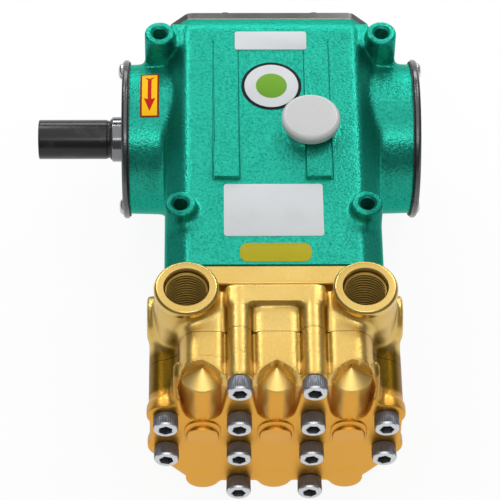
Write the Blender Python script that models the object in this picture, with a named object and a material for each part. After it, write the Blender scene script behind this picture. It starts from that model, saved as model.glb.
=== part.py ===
"""Triplex plunger pump of a pressure washer, built from separate named pieces.

Metres, +Z up. The pump stands on its flat base at Z = 0. The crank axis runs
along X above the origin, the drive shaft points to -X and the brass head to -Y.
Heights in this file are counted from the crank axis, which is where the empty
that carries every piece stands.
"""
import math

import bmesh
import bpy
from mathutils import Matrix, Vector

MM = 0.001

# gaps between neighbours
CLEARANCE = 0.3 * MM
OVERLAP = 1.0 * MM
WELD = 0.005 * MM

# crank train
CRANK_HEIGHT = 60 * MM
PLUNGER_PITCH = 41.2 * MM
CRANK_THROW = 6 * MM
CRANK_PHASES = (0, 120, 240)
SHAFT_DIAMETER = 24 * MM
SHAFT_END = 141 * MM
SHAFT_CHAMFER = 1.5 * MM
SHAFT_STEP = 96.2 * MM
SEAL_JOURNAL_DIAMETER = 27.5 * MM
KEYWAY_WIDTH = 8 * MM
KEYWAY_DEPTH = 4 * MM
KEYWAY_LENGTH = 32 * MM
ECCENTRIC_DIAMETER = 42 * MM
ECCENTRIC_WIDTH = 16 * MM
CRANK_CORE_DIAMETER = 28 * MM
CRANK_SHOULDER_DIAMETER = 36 * MM
ROD_LENGTH = 75 * MM
ROD_WIDTH = 14 * MM
ROD_STRAP_WALL = 5.5 * MM
ROD_SHANK_HEIGHT = 12 * MM
ROD_EYE_DIAMETER = 15 * MM
WRIST_PIN_DIAMETER = 8 * MM
WRIST_PIN_LENGTH = 20 * MM

# bearings and their covers
BEARING_BORE = 30 * MM
BEARING_DIAMETER = 62 * MM
BEARING_WIDTH = 16 * MM
BEARING_INNER_FACE = 62 * MM
BEARING_RING_WALL = 5.5 * MM
ROLLER_DIAMETER = 6.2 * MM
ROLLER_COUNT = 12
HOUSING_DIAMETER = 91 * MM
HOUSING_END = 85 * MM
COVER_DIAMETER = 96.6 * MM
COVER_THICKNESS = 4 * MM
COVER_EDGE = 1.2 * MM
SHAFT_SEAL_DIAMETER = 40 * MM
SHAFT_SEAL_WIDTH = 8 * MM

# crankcase
CASE_TOP_HALF = 51 * MM
CASE_SHOULDER = 14 * MM
CASE_TOP_REAR = 56 * MM
CASE_TOP_FRONT = 51.5 * MM
CASE_REAR = 53 * MM
CASE_FRONT = 134 * MM
REAR_BEVEL_LENGTH = 11.5 * MM
REAR_BEVEL_DROP = 5.5 * MM
CHAMBER_WALL = 11 * MM
CHAMBER_SIDE_GAP = 3.8 * MM
CHAMBER_FRONT = 46 * MM
BOSS_TOP = 60 * MM
BOSS_DIAMETER = 16.5 * MM
BOSS_HOLE_DIAMETER = 8.4 * MM
BOSS_HOLE_DEPTH = 22 * MM
REAR_BOSS_X = 66.7 * MM
REAR_BOSS_Y = 34 * MM
FRONT_BOSS_X = 53.6 * MM
FRONT_BOSS_Y = 95 * MM
RIB_X = 27 * MM
RIB_WIDTH = 16 * MM
RIB_REAR = 31 * MM
RIB_FRONT = 72 * MM

# oil filler, level glass, drain and rear cover
FILLER_X = 22.5 * MM
FILLER_Y = 35 * MM
FILLER_BOSS_DIAMETER = 27 * MM
FILLER_BOSS_TOP = 57.8 * MM
FILLER_HOLE_DIAMETER = 18 * MM
CAP_DIAMETER = 34.6 * MM
CAP_THICKNESS = 7.5 * MM
CAP_EDGE = 2.4 * MM
CAP_STEM_LENGTH = 16 * MM
GASKET_THICKNESS = 0.8 * MM
REAR_COVER_HALF = 61 * MM
REAR_COVER_TOP = 49.5 * MM
REAR_COVER_BOTTOM = 54 * MM
REAR_COVER_CORNER = 11 * MM
REAR_COVER_THICKNESS = 5 * MM
REAR_OPENING_MARGIN = 12 * MM
GLASS_DIAMETER = 20 * MM
GLASS_RIM = 4 * MM
GLASS_RIM_THICKNESS = 4 * MM
GLASS_DROP = 6 * MM
DRAIN_DIAMETER = 14 * MM
DRAIN_HEAD_DIAMETER = 21 * MM
DRAIN_HEAD_THICKNESS = 7 * MM
DRAIN_DROP = 34 * MM

# crossheads, plungers and their seals
CROSSHEAD_DIAMETER = 36 * MM
CROSSHEAD_WALL = 2.7 * MM
CROSSHEAD_SKIRT = 58 * MM
CROSSHEAD_CROWN = 6 * MM
CROSSHEAD_STOP = 22 * MM
STEM_DIAMETER = 16 * MM
SPIGOT_DIAMETER = 10 * MM
SPIGOT_LENGTH = 8 * MM
PLUNGER_DIAMETER = 20 * MM
PLUNGER_LENGTH = 40 * MM
PLUNGER_NOSE = 1.5 * MM
OIL_SEAL_DIAMETER = 28 * MM
OIL_SEAL_WIDTH = 6 * MM
OIL_SEAL_DEPTH = 8 * MM
PACKING_DIAMETER = 32 * MM
PACKING_SETBACK = 8 * MM
PACKING_LENGTH = 18 * MM

# brass manifold and valve head
MANIFOLD_LENGTH = 46 * MM
VALVE_HEAD_LENGTH = 32 * MM
HUMP_OVERHANG = 20 * MM
FLANGE_HALF = 66 * MM
FLANGE_TOP = 52 * MM
FLANGE_BOTTOM = 54 * MM
FLANGE_THICKNESS = 12 * MM
HEAD_SIDE_HALF = 71 * MM
HEAD_SIDE_HEIGHT = 22 * MM
HEAD_SHOULDER_HALF = 57 * MM
HEAD_SHOULDER_TOP = 33 * MM
HEAD_BOTTOM = 53 * MM
HEAD_BOTTOM_HALF = 46 * MM
HEAD_LOWER_HALF = 53 * MM
HEAD_LOWER_SHOULDER = 46 * MM
HUMP_DIAMETER = 34 * MM
HUMP_HEIGHT = 37 * MM
RIDGE_DIAMETER = 16.4 * MM
SIDE_RIDGE_DIAMETER = 19.4 * MM
RIDGE_SETBACK = 18 * MM
BRIDGE_THICKNESS = 12 * MM
BRIDGE_TOP = 59 * MM
BRIDGE_CORNER = 6 * MM
NOTCH_FLOOR = 17 * MM
NOTCH_FLOOR_HALF = 6.5 * MM
LOBE_DIAMETER = 20 * MM
LOBE_PROUD = 0.5 * MM
ARCH_HEIGHT = 2 * MM
ARCH_FOOT = 10 * MM
ARCH_PROUD = 2.5 * MM
COLUMN_DIAMETER = 24 * MM
COLUMN_TOP = 40.5 * MM
COLUMN_POINT = 7 * MM
PORT_X = 50 * MM
PORT_SETBACK = 23 * MM
PORT_TOP = 64 * MM
PORT_DIAMETER = 36.6 * MM
PORT_EDGE = 1.6 * MM
PORT_BORE = 24.8 * MM
PORT_FLOOR = 28 * MM
SIDE_BOSS_DIAMETER = 26 * MM
SIDE_BOSS_END = 72.8 * MM
SIDE_BOSS_SETBACK = 18 * MM
SIDE_BOSS_HEIGHT = 26 * MM
INLET_END = 72 * MM
INLET_DIAMETER = 32 * MM
INLET_BORE = 22 * MM
INLET_DEPTH = 16 * MM

# valves, galleries and head bolts
VALVE_HEIGHT = 31 * MM
VALVE_DIAMETER = 19 * MM
VALVE_THICKNESS = 3 * MM
VALVE_STEM_DIAMETER = 8 * MM
VALVE_STEM_LENGTH = 6 * MM
VALVE_POCKET_DIAMETER = 22.6 * MM
VALVE_HOLE_DIAMETER = 14 * MM
VALVE_POCKET_DEPTH = 16 * MM
SPRING_DIAMETER = 15 * MM
SPRING_WIRE = 1.6 * MM
SPRING_TURNS = 3
GALLERY_DIAMETER = 14 * MM
GALLERY_HALF = 60 * MM
GALLERY_SETBACK = 24 * MM
PASSAGE_DIAMETER = 13 * MM
PASSAGE_TOP = 33 * MM
PASSAGE_BOTTOM = 40 * MM
BOLT_DIAMETER = 8 * MM
BOLT_HEAD_DIAMETER = 14 * MM
BOLT_HEAD_HEIGHT = 8.4 * MM
BOLT_ROW_INNER = 15.7 * MM
BOLT_ROW_OUTER = 51.8 * MM
SHORT_BOLT_GRIP = 8 * MM
LONG_BOLT_GRIP = 18 * MM

# facets round a full turn
FINE_SIDES = 28
MIDDLE_SIDES = 18
COARSE_SIDES = 12
SMALL_SIDES = 8

# places that follow from the sizes above
CYLINDERS = (-PLUNGER_PITCH, 0.0, PLUNGER_PITCH)
BOLT_COLUMN_INNER = PLUNGER_PITCH / 2
BOLT_COLUMN_OUTER = PLUNGER_PITCH * 1.5
BEARING_OUTER_FACE = BEARING_INNER_FACE + BEARING_WIDTH
CHAMBER_HALF = PLUNGER_PITCH + ROD_WIDTH / 2 + CHAMBER_SIDE_GAP
CASE_SIDE_HALF = CHAMBER_HALF + CHAMBER_WALL
COVER_FACE = HOUSING_END + CLEARANCE + COVER_THICKNESS
CROSSHEAD_BORE_END = CASE_FRONT - CROSSHEAD_STOP
PLUNGER_REAR = CASE_FRONT
PACKING_REAR = CASE_FRONT + PACKING_SETBACK
RIDGE_REAR = CASE_FRONT + RIDGE_SETBACK
PORT_Y = CASE_FRONT + PORT_SETBACK
SIDE_BOSS_Y = CASE_FRONT + SIDE_BOSS_SETBACK
GALLERY_Y = CASE_FRONT + GALLERY_SETBACK
HEAD_JOINT = CASE_FRONT + MANIFOLD_LENGTH
HUMP_FRONT = HEAD_JOINT + HUMP_OVERHANG
HEAD_FRONT = HEAD_JOINT + VALVE_HEAD_LENGTH
COLUMN_Y = HEAD_FRONT - COLUMN_DIAMETER / 2
SHORT_BOLT_LENGTH = VALVE_HEAD_LENGTH + SHORT_BOLT_GRIP
LONG_BOLT_LENGTH = VALVE_HEAD_LENGTH + MANIFOLD_LENGTH + LONG_BOLT_GRIP
EYE_FRONT = ROD_LENGTH + CRANK_THROW + ROD_EYE_DIAMETER / 2
CROWN_INSIDE = EYE_FRONT + CRANK_THROW + CLEARANCE
CROWN_OUTSIDE = CROWN_INSIDE + CROSSHEAD_CROWN
OIL_SEAL_FRONT = CASE_FRONT - OIL_SEAL_DEPTH
FILLER_HEAD = FILLER_BOSS_TOP + CLEARANCE
GASKET_REAR = CASE_REAR + CLEARANCE + GASKET_THICKNESS
REAR_COVER_INSIDE = GASKET_REAR + CLEARANCE
REAR_COVER_OUTSIDE = REAR_COVER_INSIDE + REAR_COVER_THICKNESS
SHORT_BOLTS = (
    (-BOLT_COLUMN_INNER, BOLT_ROW_OUTER),
    (BOLT_COLUMN_INNER, BOLT_ROW_OUTER),
    (-BOLT_COLUMN_OUTER, BOLT_ROW_INNER),
    (BOLT_COLUMN_OUTER, BOLT_ROW_INNER),
    (-BOLT_COLUMN_OUTER, -BOLT_ROW_INNER),
    (BOLT_COLUMN_OUTER, -BOLT_ROW_INNER),
    (-BOLT_COLUMN_INNER, -BOLT_ROW_OUTER),
    (BOLT_COLUMN_INNER, -BOLT_ROW_OUTER),
)
LONG_BOLTS = (
    (-BOLT_COLUMN_INNER, BOLT_ROW_INNER),
    (BOLT_COLUMN_INNER, BOLT_ROW_INNER),
    (-BOLT_COLUMN_INNER, -BOLT_ROW_INNER),
    (BOLT_COLUMN_INNER, -BOLT_ROW_INNER),
)

# turns that lay a shape drawn along Z onto another axis
ALONG = {
    "X": Matrix.Rotation(math.pi / 2, 4, "Y"),
    "Y": Matrix.Rotation(-math.pi / 2, 4, "X"),
    "Z": Matrix.Identity(4),
}


def clear_scene():
    """Remove every object."""
    for old in list(bpy.data.objects):
        bpy.data.objects.remove(old, do_unlink=True)


def material(name, colour, roughness, metallic):
    """A plain Principled material."""
    made = bpy.data.materials.new(name)
    made.use_nodes = True
    shader = made.node_tree.nodes["Principled BSDF"]
    shader.inputs["Base Color"].default_value = (*colour, 1.0)
    shader.inputs["Roughness"].default_value = roughness
    shader.inputs["Metallic"].default_value = metallic
    made.diffuse_color = (*colour, 1.0)
    return made


def to_object(bm, name="shape"):
    """Close a bmesh into an object whose faces point outward."""
    bmesh.ops.recalc_face_normals(bm, faces=bm.faces)
    mesh = bpy.data.meshes.new(name)
    bm.to_mesh(mesh)
    bm.free()
    made = bpy.data.objects.new(name, mesh)
    bpy.context.scene.collection.objects.link(made)
    return made


def box(low, high):
    """A box between two corners."""
    bm = bmesh.new()
    centre = (Vector(low) + Vector(high)) / 2
    size = Vector(high) - Vector(low)
    place = Matrix.Translation(centre) @ Matrix.Diagonal((*size, 1.0))
    bmesh.ops.create_cube(bm, size=1.0, matrix=place)
    return to_object(bm)


def rod(axis, start, end, across, radius, sides=COARSE_SIDES):
    """A cylinder along an axis; across is its place on the other two axes in X, Y, Z order."""
    return turned(axis, ((start, radius), (end, radius)), across, sides)


def turned(axis, profile, across=(0.0, 0.0), sides=MIDDLE_SIDES, hollow=False):
    """Spin (along, radius) pairs about an axis; a hollow profile is a closed ring section."""
    bm = bmesh.new()
    rings = []
    for along, radius in profile:
        ring = []
        for step in range(sides):
            angle = 2 * math.pi * (step + 0.5) / sides
            spot = (radius * math.cos(angle), radius * math.sin(angle), along)
            ring.append(bm.verts.new(spot))
        rings.append(ring)
    pairs = list(zip(rings, rings[1:]))
    if hollow:
        pairs.append((rings[-1], rings[0]))
    else:
        bm.faces.new(rings[0])
        bm.faces.new(rings[-1])
    for ring, following in pairs:
        for step in range(sides):
            after = (step + 1) % sides
            bm.faces.new((ring[step], ring[after], following[after], following[step]))
    place = {
        "X": (0.0, across[0], across[1]),
        "Y": (across[0], 0.0, across[1]),
        "Z": (across[0], across[1], 0.0),
    }[axis]
    bmesh.ops.transform(bm, matrix=Matrix.Translation(place) @ ALONG[axis], verts=bm.verts)
    return to_object(bm)


def loft(sections):
    """Join outlines of equal length into one closed body."""
    bm = bmesh.new()
    rings = [[bm.verts.new(point) for point in section] for section in sections]
    bm.faces.new(rings[0])
    bm.faces.new(rings[-1])
    for ring, following in zip(rings, rings[1:]):
        for step in range(len(ring)):
            after = (step + 1) % len(ring)
            bm.faces.new((ring[step], ring[after], following[after], following[step]))
    return to_object(bm)


def plate(outline, start, end):
    """Push an X, Z outline along Y."""
    sections = []
    for y in (start, end):
        sections.append([(x, y, z) for x, z in outline])
    return loft(sections)


def combine(base, others, operation):
    """Join or cut a body with others, which are used up."""
    for other in others:
        step = base.modifiers.new("step", "BOOLEAN")
        step.operation = operation
        step.solver = "EXACT"
        step.object = other
        graph = bpy.context.evaluated_depsgraph_get()
        mesh = bpy.data.meshes.new_from_object(base.evaluated_get(graph))
        base.modifiers.clear()
        base.data = mesh
        tidy(mesh)
        bpy.data.objects.remove(other, do_unlink=True)
    return base


def tidy(mesh):
    """Weld points that meet and melt edges inside flat faces."""
    bm = bmesh.new()
    bm.from_mesh(mesh)
    bmesh.ops.remove_doubles(bm, verts=bm.verts, dist=WELD)
    bmesh.ops.dissolve_degenerate(bm, edges=bm.edges, dist=WELD)
    bmesh.ops.dissolve_limit(bm, angle_limit=math.radians(0.2), verts=bm.verts, edges=bm.edges)
    bm.to_mesh(mesh)
    bm.free()


def joined(base, *others):
    """One body made of several that overlap."""
    return combine(base, others, "UNION")


def cut(base, *others):
    """A body less others."""
    return combine(base, others, "DIFFERENCE")


def finish(made, name, look, carrier, origin=(0.0, 0.0, 0.0)):
    """Name a body, give it its material and hang it on its carrier with its origin on its axis."""
    bm = bmesh.new()
    bm.from_mesh(made.data)
    bmesh.ops.triangulate(bm, faces=[face for face in bm.faces if len(face.verts) > 4])
    bmesh.ops.translate(bm, vec=-Vector(origin), verts=bm.verts)
    bm.to_mesh(made.data)
    bm.free()
    made.name = name
    made.data.name = name
    made.data.materials.clear()
    made.data.materials.append(look)
    made.data.shade_smooth()
    made.data.set_sharp_from_angle(angle=math.radians(35))
    made.parent = carrier
    made.location = origin
    return made


def mirrored(points):
    """An outline's right half, top to bottom, with its mirror image."""
    return list(points) + [(-x, z) for x, z in reversed(points)]


def case_top(y):
    """Height of the crankcase's sloping top face."""
    bevel_start = CASE_REAR - REAR_BEVEL_LENGTH
    share = (bevel_start - y) / (bevel_start + CASE_FRONT)
    return CASE_TOP_REAR + (CASE_TOP_FRONT - CASE_TOP_REAR) * share


def case_section(y, top):
    """Eight-sided cross-section of the crankcase."""
    right = (
        (CASE_TOP_HALF, top),
        (CASE_SIDE_HALF, top - CASE_SHOULDER),
        (CASE_SIDE_HALF, CASE_SHOULDER - CRANK_HEIGHT),
        (CASE_TOP_HALF, -CRANK_HEIGHT),
    )
    return [(x, y, z) for x, z in mirrored(right)]


def crankcase_shell():
    """Outside of the crankcase casting."""
    bevel_start = CASE_REAR - REAR_BEVEL_LENGTH
    body = loft((
        case_section(CASE_REAR, CASE_TOP_REAR - REAR_BEVEL_DROP),
        case_section(bevel_start, CASE_TOP_REAR),
        case_section(-CASE_FRONT, CASE_TOP_FRONT),
    ))
    for side in (-1, 1):
        housing = rod("X", side * CHAMBER_HALF, side * HOUSING_END, (0, 0), HOUSING_DIAMETER / 2, FINE_SIDES)
        rear_post = rod("Z", -CRANK_HEIGHT, BOSS_TOP, (side * REAR_BOSS_X, REAR_BOSS_Y), BOSS_DIAMETER / 2)
        web = box(
            side_corner(side, CHAMBER_HALF, REAR_BOSS_Y - BOSS_DIAMETER / 4, -CASE_SHOULDER),
            side_corner(
                side, REAR_BOSS_X, REAR_BOSS_Y + BOSS_DIAMETER / 4, CASE_TOP_REAR - CASE_SHOULDER / 2
            ),
        )
        front_post = rod(
            "Z", -CRANK_HEIGHT, BOSS_TOP, (side * FRONT_BOSS_X, -FRONT_BOSS_Y), BOSS_DIAMETER / 2
        )
        rib = box(
            (side * RIB_X - RIB_WIDTH / 2, -RIB_FRONT, 0),
            (side * RIB_X + RIB_WIDTH / 2, RIB_REAR, case_top(RIB_REAR)),
        )
        body = joined(body, housing, rear_post, web, front_post, rib)
    filler = rod("Z", 0, FILLER_BOSS_TOP, (FILLER_X, -FILLER_Y), FILLER_BOSS_DIAMETER / 2, MIDDLE_SIDES)
    return joined(body, filler)


def side_corner(side, x, y, z):
    """A corner on the left or right side of the pump."""
    return (side * x, y, z)


def chamber_top():
    """Ceiling of the crank chamber."""
    return CASE_TOP_FRONT - CHAMBER_WALL / 2


def build_crankcase(look, carrier):
    """Painted casting: crank chamber, bearing bores, crosshead bores, tapped bosses."""
    body = crankcase_shell()
    chamber = box(
        (-CHAMBER_HALF, -CHAMBER_FRONT, CHAMBER_WALL - CRANK_HEIGHT),
        (CHAMBER_HALF, CASE_REAR - REAR_BEVEL_LENGTH, chamber_top()),
    )
    doorway = box(
        (REAR_OPENING_MARGIN - CHAMBER_HALF, 0, REAR_OPENING_MARGIN - REAR_COVER_BOTTOM),
        (CHAMBER_HALF - REAR_OPENING_MARGIN, CASE_REAR + OVERLAP, REAR_COVER_TOP - REAR_OPENING_MARGIN),
    )
    body = cut(body, chamber, doorway)
    for side in (-1, 1):
        seat = rod(
            "X", side * (BEARING_INNER_FACE - CLEARANCE), side * (HOUSING_END + OVERLAP), (0, 0),
            BEARING_DIAMETER / 2 + CLEARANCE, FINE_SIDES,
        )
        lip = rod(
            "X", side * (CHAMBER_HALF - OVERLAP), side * BEARING_INNER_FACE, (0, 0),
            BEARING_DIAMETER / 2 - BEARING_RING_WALL, MIDDLE_SIDES,
        )
        body = cut(body, seat, lip)
        for x, y in ((REAR_BOSS_X, REAR_BOSS_Y), (FRONT_BOSS_X, -FRONT_BOSS_Y)):
            upper = rod(
                "Z", BOSS_TOP - BOSS_HOLE_DEPTH, BOSS_TOP + OVERLAP, (side * x, y),
                BOSS_HOLE_DIAMETER / 2, SMALL_SIDES,
            )
            lower = rod(
                "Z", -CRANK_HEIGHT - OVERLAP, BOSS_HOLE_DEPTH - CRANK_HEIGHT, (side * x, y),
                BOSS_HOLE_DIAMETER / 2, SMALL_SIDES,
            )
            body = cut(body, upper, lower)
    for x in CYLINDERS:
        guide = rod(
            "Y", -CROSSHEAD_BORE_END, OVERLAP - CHAMBER_FRONT, (x, 0),
            CROSSHEAD_DIAMETER / 2 + CLEARANCE, MIDDLE_SIDES,
        )
        stem_hole = rod(
            "Y", -CASE_FRONT, OVERLAP - CROSSHEAD_BORE_END, (x, 0), STEM_DIAMETER / 2 + 2 * CLEARANCE
        )
        seal_seat = rod(
            "Y", -CASE_FRONT - OVERLAP, OIL_SEAL_WIDTH + CLEARANCE - OIL_SEAL_FRONT, (x, 0),
            OIL_SEAL_DIAMETER / 2 + CLEARANCE, MIDDLE_SIDES,
        )
        body = cut(body, guide, stem_hole, seal_seat)
    for x, z in LONG_BOLTS:
        tapped = rod(
            "Y", -CASE_FRONT - OVERLAP, LONG_BOLT_LENGTH + CLEARANCE - HEAD_FRONT, (x, z),
            BOLT_DIAMETER / 2 + CLEARANCE,
        )
        body = cut(body, tapped)
    filler_hole = rod(
        "Z", 0, FILLER_BOSS_TOP + OVERLAP, (FILLER_X, -FILLER_Y), FILLER_HOLE_DIAMETER / 2, MIDDLE_SIDES
    )
    return finish(cut(body, filler_hole), "crankcase", look, carrier)


def rear_outline(margin=0.0):
    """Outline of the rear cover and its gasket, drawn in by a margin."""
    corner = REAR_COVER_CORNER
    right = (
        (REAR_COVER_HALF - corner - margin, REAR_COVER_TOP - margin),
        (REAR_COVER_HALF - margin, REAR_COVER_TOP - corner - margin),
        (REAR_COVER_HALF - margin, corner + margin - REAR_COVER_BOTTOM),
        (REAR_COVER_HALF - corner - margin, margin - REAR_COVER_BOTTOM),
    )
    return mirrored(right)


def build_rear_cover(cover_look, gasket_look, glass_look, plug_look, carrier):
    """Rear cover plate on its gasket, with the oil level glass and the drain plug."""
    gasket = plate(rear_outline(), CASE_REAR + CLEARANCE, GASKET_REAR)
    window = plate(rear_outline(REAR_OPENING_MARGIN), CASE_REAR, GASKET_REAR + OVERLAP)
    finish(cut(gasket, window), "rear_cover_gasket", gasket_look, carrier)

    cover = plate(rear_outline(), REAR_COVER_INSIDE, REAR_COVER_OUTSIDE)
    glass_hole = rod(
        "Y", REAR_COVER_INSIDE - OVERLAP, REAR_COVER_OUTSIDE + OVERLAP, (0, -GLASS_DROP),
        GLASS_DIAMETER / 2 + CLEARANCE, MIDDLE_SIDES,
    )
    drain_hole = rod(
        "Y", REAR_COVER_INSIDE - OVERLAP, REAR_COVER_OUTSIDE + OVERLAP, (0, -DRAIN_DROP),
        DRAIN_DIAMETER / 2 + CLEARANCE,
    )
    finish(cut(cover, glass_hole, drain_hole), "rear_cover", cover_look, carrier)

    rim_start = REAR_COVER_OUTSIDE + CLEARANCE
    glass = turned("Y", (
        (REAR_COVER_INSIDE, GLASS_DIAMETER / 2),
        (rim_start, GLASS_DIAMETER / 2),
        (rim_start, GLASS_DIAMETER / 2 + GLASS_RIM),
        (rim_start + GLASS_RIM_THICKNESS, GLASS_DIAMETER / 2 + GLASS_RIM),
        (rim_start + GLASS_RIM_THICKNESS, GLASS_DIAMETER / 2),
        (rim_start + GLASS_RIM_THICKNESS / 2, GLASS_DIAMETER / 2 - CLEARANCE),
    ), (0, -GLASS_DROP))
    finish(glass, "oil_level_glass", glass_look, carrier)

    plug = rod("Y", REAR_COVER_INSIDE, rim_start + OVERLAP, (0, -DRAIN_DROP), DRAIN_DIAMETER / 2)
    head = rod(
        "Y", rim_start, rim_start + DRAIN_HEAD_THICKNESS, (0, -DRAIN_DROP), DRAIN_HEAD_DIAMETER / 2, 6
    )
    finish(joined(plug, head), "oil_drain_plug", plug_look, carrier)


def build_bearings(look, carrier, crank):
    """Two roller bearings: outer ring in the housing, inner ring with its rollers on the crankshaft."""
    ring_inside = BEARING_DIAMETER / 2 - BEARING_RING_WALL
    roller_circle = ring_inside - CLEARANCE - ROLLER_DIAMETER / 2
    inner_ring_outside = roller_circle - ROLLER_DIAMETER / 4
    for side, label in ((-1, "drive"), (1, "blind")):
        near = side * BEARING_INNER_FACE
        far = side * BEARING_OUTER_FACE
        outer = turned("X", (
            (near, ring_inside),
            (near, BEARING_DIAMETER / 2),
            (far, BEARING_DIAMETER / 2),
            (far, ring_inside),
        ), sides=FINE_SIDES, hollow=True)
        finish(outer, label + "_bearing_outer_ring", look, carrier)
        inner = turned("X", (
            (near, BEARING_BORE / 2),
            (near, inner_ring_outside),
            (far, inner_ring_outside),
            (far, BEARING_BORE / 2),
        ), hollow=True)
        inset = side * BEARING_WIDTH / 8
        for number in range(ROLLER_COUNT):
            angle = 2 * math.pi * number / ROLLER_COUNT
            spot = (roller_circle * math.cos(angle), roller_circle * math.sin(angle))
            inner = joined(inner, rod("X", near + inset, far - inset, spot, ROLLER_DIAMETER / 2, 8))
        finish(inner, label + "_bearing_inner_ring", look, crank)


def build_bearing_covers(cover_look, seal_look, carrier):
    """Round covers that close the bearing housings, and the shaft seal in the drive-side one."""
    inside = HOUSING_END + CLEARANCE
    spigot = BEARING_OUTER_FACE + CLEARANCE
    rim = COVER_DIAMETER / 2
    profile = (
        (spigot, BEARING_DIAMETER / 2),
        (inside, BEARING_DIAMETER / 2),
        (inside, rim - COVER_EDGE / 2),
        (inside + COVER_EDGE / 2, rim),
        (COVER_FACE - COVER_EDGE, rim),
        (COVER_FACE, rim - COVER_EDGE),
    )
    blind = turned("X", profile, sides=FINE_SIDES)
    dish = rod("X", spigot - OVERLAP, inside, (0, 0), BEARING_DIAMETER / 2 - BEARING_RING_WALL, MIDDLE_SIDES)
    finish(cut(blind, dish), "blind_bearing_cover", cover_look, carrier)

    drive = turned("X", [(-along, radius) for along, radius in profile], sides=FINE_SIDES)
    seal_hole = rod(
        "X", OVERLAP - spigot, -COVER_FACE - OVERLAP, (0, 0),
        SHAFT_SEAL_DIAMETER / 2 + CLEARANCE, MIDDLE_SIDES,
    )
    finish(cut(drive, seal_hole), "drive_bearing_cover", cover_look, carrier)

    seal_face = COVER_FACE - OVERLAP
    lip = SEAL_JOURNAL_DIAMETER / 2 + CLEARANCE
    seal = turned("X", (
        (-seal_face, lip + COVER_EDGE),
        (-seal_face, SHAFT_SEAL_DIAMETER / 2),
        (SHAFT_SEAL_WIDTH - seal_face, SHAFT_SEAL_DIAMETER / 2),
        (SHAFT_SEAL_WIDTH - seal_face, lip),
        (SHAFT_SEAL_WIDTH / 2 - seal_face, lip),
    ), hollow=True)
    finish(seal, "shaft_seal", seal_look, carrier)


def build_crankshaft(look, crank):
    """Eccentric shaft: drive end with keyway, journals, three eccentrics."""
    shoulder = BEARING_INNER_FACE - CLEARANCE
    journal = BEARING_BORE / 2 - CLEARANCE
    seal_journal = SEAL_JOURNAL_DIAMETER / 2
    neck = CHAMBER_HALF - OVERLAP
    shaft = turned("X", (
        (-SHAFT_END, SHAFT_DIAMETER / 2 - SHAFT_CHAMFER),
        (SHAFT_CHAMFER - SHAFT_END, SHAFT_DIAMETER / 2),
        (-SHAFT_STEP, SHAFT_DIAMETER / 2),
        (-SHAFT_STEP, seal_journal),
        (-BEARING_OUTER_FACE, seal_journal),
        (-BEARING_OUTER_FACE, journal),
        (-shoulder, journal),
        (-shoulder, CRANK_SHOULDER_DIAMETER / 2),
        (-neck, CRANK_SHOULDER_DIAMETER / 2),
        (-neck, CRANK_CORE_DIAMETER / 2),
        (neck, CRANK_CORE_DIAMETER / 2),
        (neck, CRANK_SHOULDER_DIAMETER / 2),
        (shoulder, CRANK_SHOULDER_DIAMETER / 2),
        (shoulder, journal),
        (BEARING_OUTER_FACE - CLEARANCE, journal),
    ))
    for x, phase in zip(CYLINDERS, CRANK_PHASES):
        y, z = throw(phase)
        eccentric = rod(
            "X", x - ECCENTRIC_WIDTH / 2, x + ECCENTRIC_WIDTH / 2, (y, z), ECCENTRIC_DIAMETER / 2, FINE_SIDES
        )
        shaft = joined(shaft, eccentric)
    keyway = box(
        (-SHAFT_END - OVERLAP, -KEYWAY_WIDTH / 2, -SHAFT_DIAMETER),
        (KEYWAY_LENGTH - SHAFT_END, KEYWAY_WIDTH / 2, KEYWAY_DEPTH - SHAFT_DIAMETER / 2),
    )
    finish(cut(shaft, keyway), "crankshaft", look, crank)


def throw(phase):
    """Place of an eccentric's centre on Y and Z; phase 0 is the forward dead centre."""
    angle = math.radians(phase)
    return (-CRANK_THROW * math.cos(angle), CRANK_THROW * math.sin(angle))


def build_rods(rod_look, pin_look, carrier):
    """Connecting rods on the eccentrics, each with its wrist pin."""
    strap_inside = ECCENTRIC_DIAMETER / 2 + CLEARANCE
    strap_outside = strap_inside + ROD_STRAP_WALL
    half = ROD_WIDTH / 2
    for number, (x, phase) in enumerate(zip(CYLINDERS, CRANK_PHASES), start=1):
        y, z = throw(phase)
        eye_y = y - ROD_LENGTH
        body = rod("X", x - half, x + half, (y, z), strap_outside, FINE_SIDES)
        shank = box(
            (x - half + 2 * OVERLAP, eye_y, z - ROD_SHANK_HEIGHT / 2),
            (x + half - 2 * OVERLAP, y, z + ROD_SHANK_HEIGHT / 2),
        )
        eye = rod("X", x - half + OVERLAP, x + half - OVERLAP, (eye_y, z), ROD_EYE_DIAMETER / 2)
        body = joined(body, shank, eye)
        strap_bore = rod("X", x - half - OVERLAP, x + half + OVERLAP, (y, z), strap_inside, FINE_SIDES)
        pin_bore = rod(
            "X", x - half - OVERLAP, x + half + OVERLAP, (eye_y, z),
            WRIST_PIN_DIAMETER / 2 + CLEARANCE, SMALL_SIDES,
        )
        body = cut(body, strap_bore, pin_bore)
        finish(body, "connecting_rod_%d" % number, rod_look, carrier, (x, y, z))
        pin = rod(
            "X", x - WRIST_PIN_LENGTH / 2, x + WRIST_PIN_LENGTH / 2, (eye_y, z),
            WRIST_PIN_DIAMETER / 2, SMALL_SIDES,
        )
        finish(pin, "wrist_pin_%d" % number, pin_look, carrier, (x, y, z))


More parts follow.
